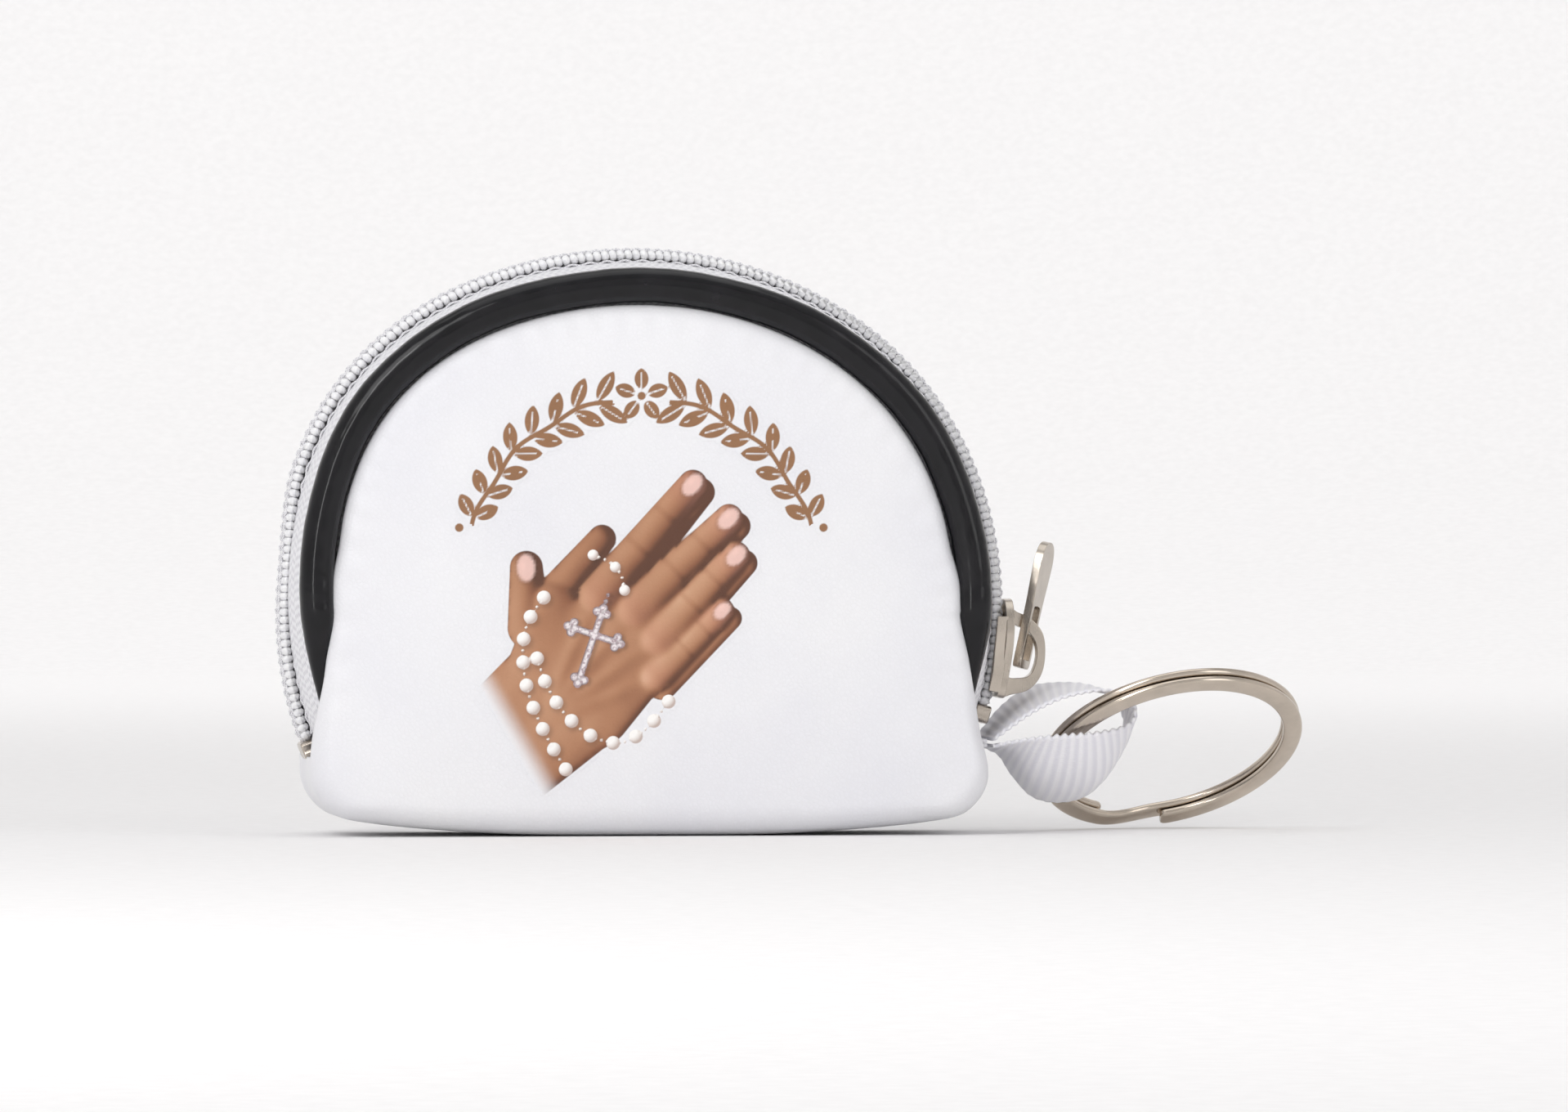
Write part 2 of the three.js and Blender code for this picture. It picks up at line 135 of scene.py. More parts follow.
def swept(name, rings, look, flow=None):
    """A closed tube through rings of points, shaped (rings, points in a ring, 3)."""
    count, around, _ = rings.shape
    faces = grid(count, around, wrap_columns=True)
    faces.append(tuple(range(around)))
    faces.append(tuple(range((count - 1) * around, count * around)))
    return piece(name, rings, faces, look, flow)


def unit(vectors):
    return vectors / np.linalg.norm(vectors, axis=-1, keepdims=True)


def run_along(points):
    """The distance along a line of points, at each point."""
    return np.concatenate([[0], np.cumsum(np.linalg.norm(np.diff(points, axis=0), axis=1))])


def spaced(points, count, endpoint=True):
    """Evenly spaced points on a line of points."""
    run = run_along(points)
    at = np.linspace(0, run[-1], count, endpoint=endpoint)
    return np.stack([np.interp(at, run, points[:, k]) for k in range(points.shape[1])], axis=1)


def flow_at(along, across):
    """The flow of one ring of a strip: the same distance along it, and each point's distance across."""
    return np.stack([0 * across + along, across, 0 * across], axis=1)


def curve_through(points, count):
    """A smooth curve through 2-D points, as evenly spaced points."""
    points = np.asarray(points, float)
    ends = np.vstack([2 * points[0] - points[1], points, 2 * points[-1] - points[-2]])
    dense = []
    for i in range(1, len(ends) - 2):
        a, b, c, d = ends[i - 1 : i + 3]
        t = np.linspace(0, 1, 24, endpoint=False)[:, None]
        bend = (2 * a - 5 * b + 4 * c - d) * t**2 + (3 * b - a - 3 * c + d) * t**3
        dense.append(0.5 * (2 * b + (c - a) * t + bend))
    return spaced(np.vstack([*dense, points[-1:]]), count)


def fit(made, slot, body, *nodes):
    """Attach a piece to the body that it rides on, if one is given, and hide the CAD nodes that it replaces.
    slot, the piece's finish, is not used.
    """
    if body:
        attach(made, body)
    if nodes:
        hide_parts(*nodes)


def waves(x, z, size, seed):
    """A soft unevenness between about -1 and 1, with bumps of about that size."""
    total = 0
    for k in range(4):
        turn = seed * 1.7 + k * 2.4
        along = x * math.cos(turn) + z * math.sin(turn)
        total = total + np.sin(along * (2.1 + 0.63 * k) / size + seed + 1.9 * k)
    return total / 4


# ---------------- materials


def linear(red, green, blue):
    """A display colour, 0 to 255, as the linear colour that a shader takes."""
    def convert(value):
        value = value / 255
        return value / 12.92 if value <= 0.04045 else ((value + 0.055) / 1.055) ** 2.4
    return (convert(red), convert(green), convert(blue), 1.0)


class Look:
    """A material with short calls for its nodes."""

    def __init__(self, name, color, roughness, **sockets):
        self.material = bpy.data.materials.new(name)
        self.material.use_nodes = True
        self.tree = self.material.node_tree
        self.shader = self.tree.nodes["Principled BSDF"]
        self.shader.inputs["Base Color"].default_value = color
        self.shader.inputs["Roughness"].default_value = roughness
        for key, value in sockets.items():
            self.shader.inputs[key.replace("_", " ").title()].default_value = value

    def node(self, kind, settings=(), **inputs):
        made = self.tree.nodes.new("ShaderNode" + kind)
        for key, value in dict(settings).items():
            setattr(made, key, value)
        for key, value in inputs.items():
            self.feed(made.inputs[key.replace("_", " ")], value)
        return made

    def feed(self, socket, value):
        if isinstance(value, bpy.types.NodeSocket):
            self.tree.links.new(value, socket)
        else:
            socket.default_value = value

    def place(self, label, output="Vector"):
        return self.node("Attribute", {"attribute_name": label}).outputs[output]

    def along_and_side(self):
        """The distances along and across a strip, in millimetres."""
        split = self.node("SeparateXYZ", Vector=self.place("flow"))
        return split.outputs["X"], split.outputs["Y"]

    def sum(self, kind, *values):
        made = self.node("Math", {"operation": kind})
        for socket, value in zip(made.inputs, values):
            self.feed(socket, value)
        return made.outputs[0]

    def noise(self, vector, per_mm, detail=3.0, roughness=0.5):
        made = self.node("TexNoise", Vector=vector, Scale=per_mm, Detail=detail, Roughness=roughness)
        return made.outputs[0]

    def cells(self, vector, per_mm):
        made = self.node("TexVoronoi", {"feature": "DISTANCE_TO_EDGE"}, Vector=vector, Scale=per_mm)
        return made.outputs["Distance"]

    def ramp(self, value, low, high, to_low=0.0, to_high=1.0):
        made = self.node("MapRange", {"clamp": True}, Value=value)
        for key, number in zip(("From Min", "From Max", "To Min", "To Max"), (low, high, to_low, to_high)):
            self.feed(made.inputs[key], number)
        return made.outputs["Result"]

    def mix(self, share, first, second):
        made = self.node("Mix", {"data_type": "RGBA"})
        self.feed(made.inputs[0], share)
        self.feed(made.inputs[6], first)
        self.feed(made.inputs[7], second)
        return made.outputs[2]

    def color(self, value):
        self.feed(self.shader.inputs["Base Color"], value)

    def rough(self, value):
        self.feed(self.shader.inputs["Roughness"], value)

    def bump(self, height, depth, strength=1.0):
        """A relief of that depth in millimetres, added over any relief already there."""
        made = self.node("Bump", Height=height, Strength=strength, Distance=depth * MM)
        under = self.shader.inputs["Normal"]
        if under.is_linked:
            self.tree.links.new(under.links[0].from_socket, made.inputs["Normal"])
        self.tree.links.new(made.outputs[0], under)


def leatherette_look(name="leatherette"):
    """White coated cloth: a fine pebbled grain, soft gloss and faint handling marks."""
    look = Look(name, linear(240, 240, 243), 0.45, coat_weight=0.12, coat_roughness=0.35)
    rest = look.place("rest")
    grain = look.ramp(look.cells(rest, 1.9), 0.0, 0.22)
    fine = look.noise(rest, 5.0, 4.0)
    broad = look.noise(rest, 0.05, 2.0)
    shade = look.mix(look.ramp(broad, 0.3, 0.75), linear(243, 243, 245), linear(235, 235, 240))
    # The grain's furrows are tinted a little darker: painted shade in the furrows.
    look.color(look.mix(look.ramp(grain, 0.0, 1.0, 0.05, 0.0), shade, linear(196, 194, 200)))
    look.rough(look.ramp(fine, 0.2, 0.8, 0.36, 0.54))
    look.bump(grain, 0.022, 0.7)
    look.bump(fine, 0.012, 0.6)
    return look


def woven_look(name, color, shadow, pitch, depth, across=1.0, herringbone=False):
    """A woven tape: threads that run along and across it, with a soft nap."""
    look = Look(name, color, 0.85, sheen_weight=0.3, sheen_roughness=0.5)
    along, side = look.along_and_side()
    if herringbone:
        along = look.sum("ADD", along, look.sum("PINGPONG", side, 1.6))
    first = look.sum("SINE", look.sum("MULTIPLY", along, math.pi / pitch))
    second = look.sum("SINE", look.sum("MULTIPLY", side, math.pi / (pitch * across)))
    height = look.ramp(look.sum("MULTIPLY", first, second), -1.0, 1.0)
    fibre = look.noise(look.place("rest"), 9.0, 3.0)
    look.color(look.mix(look.ramp(height, 0.1, 0.7), shadow, color))
    look.rough(look.ramp(fibre, 0.2, 0.8, 0.75, 0.95))
    look.bump(height, depth)
    look.bump(fibre, 0.02, 0.7)
    return look


def piping_look():
    """Glossy black vinyl with a faint orange peel and a duller haze of handling."""
    look = Look("piping", linear(17, 17, 20), 0.2, coat_weight=0.25, coat_roughness=0.07)
    look.shader.inputs["Specular IOR Level"].default_value = 0.2
    rest = look.place("rest")
    haze = look.noise(rest, 0.35, 3.0)
    fine = look.noise(rest, 3.0, 3.0)
    look.color(look.mix(look.ramp(haze, 0.35, 0.75), linear(13, 13, 16), linear(24, 23, 27)))
    look.rough(look.ramp(haze, 0.3, 0.75, 0.13, 0.27))
    look.bump(look.noise(rest, 0.9, 2.0), 0.03, 0.8)
    look.bump(fine, 0.006, 0.5)
    return look


def metal_look(name, color, scratch, roughness):
    """Plated metal with fine scratches and fingerprints."""
    look = Look(name, color, roughness, metallic=1.0)
    rest = look.place("rest")
    marks = look.noise(look.node("Mapping", Vector=rest, Scale=(7.0, 1.0, 0.6)).outputs[0], 1.4, 5.0, 0.65)
    prints = look.noise(rest, 0.35, 3.0)
    tint = look.mix(look.ramp(prints, 0.3, 0.7), color, tuple(0.86 * c for c in color[:3]) + (1,))
    look.color(tint)
    worn = look.sum("ADD", marks, look.sum("MULTIPLY", prints, 0.6))
    look.rough(look.ramp(worn, 0.5, 1.1, roughness, roughness + scratch))
    look.bump(marks, 0.004, 0.5)
    return look


def nylon_look():
    """The coil's nylon: a clear-white monofilament with a soft gloss."""
    look = Look("nylon", linear(248, 248, 250), 0.32, coat_weight=0.25, subsurface_weight=0.3)
    look.shader.inputs["Subsurface Radius"].default_value = (0.0008, 0.0008, 0.0009)
    look.shader.inputs["Subsurface Scale"].default_value = 1.0
    rest = look.place("rest")
    speck = look.noise(rest, 1.3, 3.0)
    look.color(look.mix(look.ramp(speck, 0.4, 0.75), linear(250, 250, 252), linear(238, 238, 242)))
    look.rough(look.ramp(speck, 0.3, 0.8, 0.26, 0.42))
    look.bump(look.noise(rest, 6.0, 2.0), 0.008, 0.5)
    return look


def ribbon_look():
    """Grosgrain: bold ribs across the ribbon, fine warp threads along it, a silky sheen."""
    look = Look("grosgrain", linear(238, 237, 244), 0.6, sheen_weight=0.35, sheen_roughness=0.4)
    along, side = look.along_and_side()
    rib = look.ramp(look.sum("COSINE", look.sum("MULTIPLY", along, 2 * math.pi / 1.15)), -1.0, 1.0)
    warp = look.ramp(look.sum("SINE", look.sum("MULTIPLY", side, 2 * math.pi / 0.3)), -1.0, 1.0)
    # Painted shade: the grooves between the ribs are coloured darker and the tops of the ribs lighter.
    look.color(look.mix(look.ramp(rib, 0.0, 0.7), linear(234, 233, 240), linear(249, 248, 252)))
    look.rough(look.ramp(rib, 0.0, 1.0, 0.75, 0.5))
    look.bump(rib, 0.05)
    look.bump(warp, 0.025, 0.8)
    return look


leatherette = leatherette_look()
lining_cloth = woven_look("lining_cloth", linear(226, 225, 229), linear(190, 188, 196), 0.32, 0.03)
black_vinyl = piping_look()
zip_tape = woven_look("zip_tape", linear(240, 240, 243), linear(208, 207, 213), 0.5, 0.07, 0.8, True)
binding_tape = woven_look("binding_tape", linear(232, 232, 235), linear(202, 201, 207), 0.4, 0.06)
nylon = nylon_look()
thread = woven_look("thread", linear(240, 240, 242), linear(200, 199, 205), 0.22, 0.05)
grosgrain = ribbon_look()
nickel = metal_look("nickel", linear(202, 192, 180), 0.14, 0.17)
ring_steel = metal_look("ring_steel", linear(208, 196, 182), 0.12, 0.1)

# ---------------- leatherette body
# The body's outline, from the middle of the base round the right-hand side to the crown.
BASE_AND_SIDE = [
    (0, 0), (12, 0.03), (20, 0.3), (28, 0.85), (34, 1.5), (37.9, 2.3), (40.1, 4.1), (41.2, 6.3), (41.3, 8.8),
    (40.7, 12.4), (40.1, 15.6), (39.5, 18.8), (38.9, 22.4), (38.25, 26.5), (37.8, 30.5),
]
PANEL_R = 37.25
EAR_TOP = 9.6  # the bottom strip ends at this height, where the zip tape is sewn to it
STATIONS = 480
CENTRE = np.array([0.0, 30.0])


def body_outline():
    arc = [(PANEL_R * math.cos(a), ARCH_Z + PANEL_R * math.sin(a)) for a in np.radians(range(12, 91, 6))]
    crown = [(0.0, ARCH_Z + PANEL_R)]
    right = curve_through(BASE_AND_SIDE + arc[:-1] + crown, STATIONS // 2 + 1)
    left = right[-2:0:-1] * (-1, 1)
    outline = np.vstack([right, left])
    from_centre = outline - (0, ARCH_Z)
    angle = np.degrees(np.arctan2(from_centre[:, 1], from_centre[:, 0])) % 360
    reach = np.linalg.norm(from_centre, axis=1)
    above = smooth((outline[:, 1] - 17) / 8)
    outline[:, 0] += 0.5 * smooth((14 - outline[:, 1]) / 8)  # the pouch leans a little to its right
    return outline + from_centre * (above * shoulders(angle) / reach)[:, None]


def body_shell(inset, arch_inset, swell, rings):
    """The front face of the body as rows from its edge inwards, and the matching edge depth.
    Where the outline is low the face turns under the pouch. Along the arch it tucks into
    the seam beside the piping."""
    outline = body_outline()
    inwards = CENTRE - outline
    reach = np.linalg.norm(inwards, axis=1)
    inwards = inwards / reach[:, None]
    low = 1 - smooth((outline[:, 1] - EAR_TOP) / 10)  # 1 along the base, 0 along the arch
    start = inset * low + arch_inset * (1 - low)
    edge = 8.2 * low + 11.0 * (1 - low) - inset * 0.6
    face = FACE - inset
    side = low * smooth((np.abs(outline[:, 0]) - 33) / 6)
    turn = 3.8 * low + 1.9 * (1 - low) - 1.1 * side
    rows = []
    for k in range(9):
        angle = math.pi / 2 * k / 8
        rows.append((turn * (1 - math.cos(angle)), edge + (face - edge) * math.sin(angle)))
    for k in range(1, rings):
        rows.append((turn + (reach - start - turn) * k / rings, face + 0 * reach))
    points = []
    for into, depth in rows:
        at = outline + inwards * (start + into)[:, None]
        x, z = at[:, 0], at[:, 1]
        soft = smooth(into / 6)
        puff = swell * (1 - np.exp(-into / 10)) + 0.10 * soft * waves(x, z, 9, 3)
        angle = np.arctan2(z - ARCH_Z, x)
        pucker = 0.10 * np.exp(-((into - 2.2) / 1.5) ** 2) * (1 - low)
        puff = puff + pucker * np.sin(angle * 61 + 2 * np.sin(angle * 7))
        points.append(np.stack([x, -(depth + puff), z], axis=1))
    middle = np.array([CENTRE[0], -(face + swell), CENTRE[1]])
    return np.array(points), middle, edge


def body_mesh(name, look, inset=0.0, arch_inset=0.0, swell=1.7, rings=72):
    """Front, bottom and back as one skin."""
    rows, middle, edge = body_shell(inset, arch_inset, swell, rings)
    count = len(rows)
    one_side = np.vstack([rows.reshape(-1, 3), middle])
    points = [one_side, one_side * (1, -1, 1)]
    faces = grid(count, STATIONS, wrap_columns=True)
    last = (count - 1) * STATIONS
    faces += [(last + j, last + (j + 1) % STATIONS, count * STATIONS) for j in range(STATIONS)]
    faces += [tuple(i + len(one_side) for i in face) for face in faces]
    # the bottom strip, between the two low edges
    low = [j % STATIONS for j in range(-STATIONS // 2, STATIONS // 2) if rows[0][j % STATIONS, 2] <= EAR_TOP]
    across = np.linspace(-1, 1, 33)
    strip = np.array([[(rows[0][j, 0], v * edge[j], rows[0][j, 2]) for v in across] for j in low])
    offset = sum(len(p) for p in points)
    points.append(strip.reshape(-1, 3))
    faces += [tuple(i + offset for i in f) for f in grid(len(low), len(across))]
    made = piece(name, np.vstack(points), faces, look)
    clean(made.data, merge=1e-6)
    return made


def bend_front(made, sheet=False):
    """Bakes the piece's placement into its mesh, the same for a one-piece skin as for any other piece."""
    if sheet:
        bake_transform(made)
    else:
        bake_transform(made)


leather = body_mesh("leather_body", leatherette.material)
thicken(leather, 0.9, -1.0)
fit(leather, "leatherette", None, "front_panel_upper", "front_panel_lower", "back_panel", "bottom_panel")
bend_front(leather, sheet=True)

lining = body_mesh("lining", lining_cloth.material, inset=1.5, arch_inset=3.6, swell=1.2, rings=36)
fit(lining, "lining", None, "front_lining_upper", "front_lining_lower", "back_lining", "bottom_lining")
bend_front(lining, sheet=True)

# ---------------- print on the front
# A sprig of leaves over a pair of folded hands with a string of beads and a small cross.
# The drawing is built in the front's plane, X and Z, with the hands in a turned frame:
# u runs from the wrist to the fingertips and v to the thumbs' side.
PRINT_STEP = 0.25
HANDS_AT = (-3.8, 25.3)
HANDS_TURN = math.radians(48)
LIGHT_FROM = (-0.52, 0.58, 0.63)


def to_front(u, v):
    c, s = math.cos(HANDS_TURN), math.sin(HANDS_TURN)
    return HANDS_AT[0] + u * c - v * s, HANDS_AT[1] + u * s + v * c


def limb(u, v, a, b, wide, narrow):
    """How far inside a tapered round-ended limb each point is, its height and its place along."""
    way = np.array(b, float) - a
    t = np.clip(((u - a[0]) * way[0] + (v - a[1]) * way[1]) / way.dot(way), 0, 1)
    off = np.hypot(u - a[0] - t * way[0], v - a[1] - t * way[1])
    radius = wide + (narrow - wide) * t
    return radius - off, np.sqrt(np.clip(radius**2 - off**2, 0, None)), t


def blur(values, times):
    for _ in range(times):
        for axis in (0, 1):
            values = (np.roll(values, 1, axis) + 2 * values + np.roll(values, -1, axis)) / 4
    return values


FINGERS = [  # knuckle, tip, radius at each, base height
    ((1.0, 4.5), (18.7, 5.0), 2.45, 1.75),
    ((2.6, 0.1), (18.6, -1.0), 2.4, 1.7),
    ((1.8, -4.2), (15.9, -4.7), 2.3, 1.6),
    ((-1.6, -7.0), (9.8, -7.9), 2.0, 1.4),
]
THUMBS = [((-7.5, 8.2), (-2.3, 13.3), 2.6, 2.0), ((-4.0, 8.4), (6.4, 8.8), 2.5, 1.7)]


def draw_hands(u, v):
    """Colour of the hands at each point and how far inside their outline it is."""
    front = [  # limb and how rounded it is
        (limb(u, v, (-9.0, -0.6), (0.3, -1.3), 8.4, 7.2), 0.34, 0.0),
        (limb(u, v, (-28.0, 1.5), (-9.0, -0.6), 7.0, 8.2), 0.34, -0.15),
        (limb(u, v, (-9.0, 3.5), (-3.5, 7.6), 5.0, 3.0), 0.5, -0.2),
    ]
    front += [(limb(u, v, *finger), 0.95, 0.75) for finger in FINGERS]
    behind = [(limb(u + 0.1, v + 1.35, *finger), 0.9, -2.6) for finger in FINGERS]
    behind += [(limb(u, v, *thumb), 0.95, -1.6) for thumb in THUMBS]
    level = np.full(u.shape, -6.0)
    inside = np.full(u.shape, -9.0)
    for (edge, height, _), round_, base in behind:
        level = np.maximum(level, np.where(edge > 0, base + round_ * height, -6.0))
        inside = np.maximum(inside, edge)
    total = np.zeros(u.shape)
    for (edge, height, _), round_, base in front:
        total += np.where(edge > 0, np.exp(3.2 * (base + round_ * height)), 0)
        inside = np.maximum(inside, edge)
    level = np.maximum(level, np.where(total > 0, np.log(np.maximum(total, 1e-9)) / 3.2, -6.0))
    for knuckle, *_ in FINGERS:  # tendons on the back of the hand
        edge, _, t = limb(u, v, (-15, -0.5), (knuckle[0] - 1, knuckle[1]), 1.0, 1.0)
        level += 0.3 * np.exp(-((1 - edge) / 0.85) ** 2) * smooth(t * 3) * smooth((1.05 - t) * 3)
    slope_v, slope_u = np.gradient(level, PRINT_STEP)
    slope_u, slope_v = np.clip(slope_u, -3, 3), np.clip(slope_v, -3, 3)
    steep = np.sqrt(1 + slope_u**2 + slope_v**2)
    light = (-slope_u * LIGHT_FROM[0] - slope_v * LIGHT_FROM[1] + LIGHT_FROM[2]) / steep
    light = blur(light, 2)
    hollow = np.clip(blur(level, 14) - level, 0, 1.8)
    broad = 0.05 * waves(u, v, 5, 2) + 0.035 * waves(u, v, 1.7, 6) - 0.02 * (v + 4)
    tone = np.clip(0.1 + 0.86 * light - 0.42 * hollow + broad, 0, 1)
    pink = np.zeros(u.shape)
    for (edge, _, t), (knuckle, tip, *_) in zip([f[0] for f in front[3:]], FINGERS):
        size = math.dist(knuckle, tip)
        for joint in (0.42, 0.44, 0.71, 0.73):
            tone -= 0.09 * np.exp(-(((t - joint) * size) / 0.2) ** 2) * smooth(edge * 2)
        at_tip = np.exp(-(((t - 1.0) * size) / 2.6) ** 2) * smooth(edge * 3)
        at_knuckle = 0.5 * np.exp(-((t * size) / 2.2) ** 2) * smooth(edge)
        pink += at_tip + at_knuckle
    stops = np.linspace(0, 1, 5)
    skin_tones = ((92, 55, 36), (142, 91, 62), (176, 124, 90), (200, 151, 117), (224, 183, 152))
    shades = [linear(*shade)[:3] for shade in skin_tones]
    color = np.stack([np.interp(tone, stops, [c[k] for c in shades]) for k in range(3)], axis=-1)
    rosy = np.array(linear(222, 150, 128)[:3]) * (0.55 + 0.6 * tone[..., None])
    color = color + (rosy - color) * np.clip(0.35 * pink, 0, 0.45)[..., None]
    nail = np.array(linear(240, 202, 192)[:3])
    for (knuckle, tip, _, narrow), size in zip(FINGERS + THUMBS[:1], (1.0, 1.0, 0.95, 0.8, 1.1)):
        way = (np.array(tip) - knuckle) / math.dist(knuckle, tip)
        du, dv = u - tip[0] + 0.1 * way[0], v - tip[1]
        along, off = du * way[0] + dv * way[1], -du * way[1] + dv * way[0]
        far = np.hypot(along / (1.55 * size), off / (1.02 * size))
        color = color * (1 - 0.22 * np.exp(-((far - 1.1) / 0.12) ** 2))[..., None]
        share = smooth((1.06 - far) / 0.2)[..., None]
        shine = 1 + 0.10 * np.exp(-((along - 0.2) / 0.5) ** 2 - ((off - 0.35) / 0.25) ** 2)
        color = color + (nail * shine[..., None] - color) * share * 0.92
    fade = smooth((u + 19.6 - 0.32 * v) / 3.2)[..., None]
    paper = np.array(linear(240, 240, 243)[:3])
    return paper + (np.clip(color, 0, 1) - paper) * fade, np.where(fade[..., 0] > 0.004, inside, -9.0)


def leaf(x, z, base, angle, length, width):
    """How far inside a pointed leaf each point is."""
    radius = (length**2 + width**2) / (4 * width)
    c, s = math.cos(angle), math.sin(angle)
    along = (x - base[0]) * c + (z - base[1]) * s - length / 2
    off = -(x - base[0]) * s + (z - base[1]) * c
    lens = radius - np.hypot(along, np.abs(off) + radius - width / 2)
    vein = 0.1 - np.abs(off)
    return np.minimum(lens, np.where(along < 0.32 * length, -vein, 9.0))


def draw_sprig(x, z):
    """Two leafy stems that rise to a small flower, in place of a line of text."""
    cx, cz, radius = -1.2, 31.6, 21.3
    turn, far = np.degrees(np.arctan2(z - cz, x - cx)), np.hypot(x - cx, z - cz)
    inside = np.full(x.shape, -9.0)
    for side in (-1, 1):
        from_top = side * (90 - turn)
        stem = 0.27 - np.abs(far - radius + 0.25 * np.sin(np.radians(from_top * 14)))
        inside = np.maximum(inside, np.where((from_top > 9) & (from_top < 74), stem, -9.0))
        for k in range(8):
            at = 14.5 + 8.1 * k
            angle = math.radians(90 - side * at)
            towards = angle + side * math.pi / 2
            size = 4.2 - 0.16 * k
            for lift in (-1, 1):
                out = radius + 0.2 * lift - 0.25 * math.sin(math.radians(at * 14))
                base = (cx + out * math.cos(angle), cz + out * math.sin(angle))
                spread = towards - side * lift * math.radians(46)
                inside = np.maximum(inside, leaf(x, z, base, spread, size, 1.75))
            berry = math.radians(90 - side * (at + 4.4))
            out = radius + (1.55 if k % 2 else -1.55)
            away = np.hypot(x - cx - out * math.cos(berry), z - cz - out * math.sin(berry))
            inside = np.maximum(inside, 0.52 - away)
    for k in range(5):
        petal = math.radians(90 + 72 * k)
        base = (cx + 0.75 * math.cos(petal), cz + radius + 0.3 + 0.75 * math.sin(petal))
        inside = np.maximum(inside, leaf(x, z, base, petal, 2.6, 1.7))
    return np.maximum(inside, 0.5 - np.hypot(x - cx, z - cz - radius - 0.3))


STRINGS = [  # u, v of each string of beads, and the beads' radius
    ([(-3.6, 9.3), (-7.2, 8.7), (-10.4, 6.6), (-13.4, 3.0), (-15.6, -1.6), (-17.2, -6.6)], 0.84),
    ([(-9.6, 5.0), (-11.3, 1.8), (-12.3, -2.0), (-12.2, -6.0), (-10.4, -9.4), (-6.8, -10.6),
      (-2.8, -10.4)], 0.84),
    ([(4.2, 8.3), (4.9, 6.2), (4.7, 4.2), (3.6, 2.6)], 0.66),
]
CROSS_AT, CROSS_TURN = (-3.4, 1.5), math.radians(23)


def bead_centres():
    """The beads of each string, and the small links of the chain between them."""
    centres = []
    for way, radius in STRINGS:
        length = run_along(curve_through(way, 200))[-1]
        count = int(length / (2 * radius + 0.95)) + 1
        for k, (u, v) in enumerate(curve_through(way, 4 * count - 3)):
            centres.append((u, v, radius if k % 4 == 0 else 0.2))
    return centres


def draw_cross(u, v):
    """How far inside a small cross with three-lobed ends each point is."""
    c, s = math.cos(CROSS_TURN), math.sin(CROSS_TURN)
    du, dv = u - CROSS_AT[0], v - CROSS_AT[1]
    up, side = du * c + dv * s, -du * s + dv * c
    inside = np.minimum(0.42 - np.abs(side), np.minimum(up + 5.2, 3.6 - up))
    inside = np.maximum(inside, np.minimum(0.42 - np.abs(up - 0.6), 3.0 - np.abs(side)))
    for end, way in (((3.4, 0), (1, 0)), ((-5.0, 0), (-1, 0)), ((0.6, 2.8), (0, 1)), ((0.6, -2.8), (0, -1))):
        for spread, reach in ((-0.62, 0), (0.62, 0), (0, 0.6)):
            at = (end[0] + way[0] * reach + way[1] * spread, end[1] + way[1] * reach + way[0] * spread)
            inside = np.maximum(inside, 0.55 - np.hypot(up - at[0], side - at[1]))
    inside = np.maximum(inside, 0.3 - np.hypot(up - 4.9, side))
    return np.maximum(inside, 0.25 - np.hypot(up - 5.7, side))


def printed_look():
    """The leatherette again, with the inks of the print sunk into it."""
    look = leatherette_look("printed_leatherette")
    blank = look.shader.inputs["Base Color"].links[0].from_socket

    ink = look.place("ink", "Color")
    color = look.mix(look.ramp(look.place("cover", "Fac"), -0.07, 0.07), blank, ink)
    cross = look.place("cross", "Fac")
    silver = look.mix(look.ramp(cross, 0.05, 0.3), linear(126, 108, 112), linear(240, 232, 234))
    speck = look.noise(look.place("rest"), 2.2, 3.0)
    silver = look.mix(look.ramp(speck, 0.48, 0.62), silver, linear(176, 156, 162))
    color = look.mix(look.ramp(cross, -0.05, 0.05), color, silver)
    lit = look.place("bead_light", "Fac")
    pearl = look.mix(look.ramp(lit, -0.1, 0.75), linear(196, 178, 170), linear(255, 253, 250))
    color = look.mix(look.ramp(look.place("bead", "Fac"), -0.05, 0.05), color, pearl)
    look.color(color)
    return look


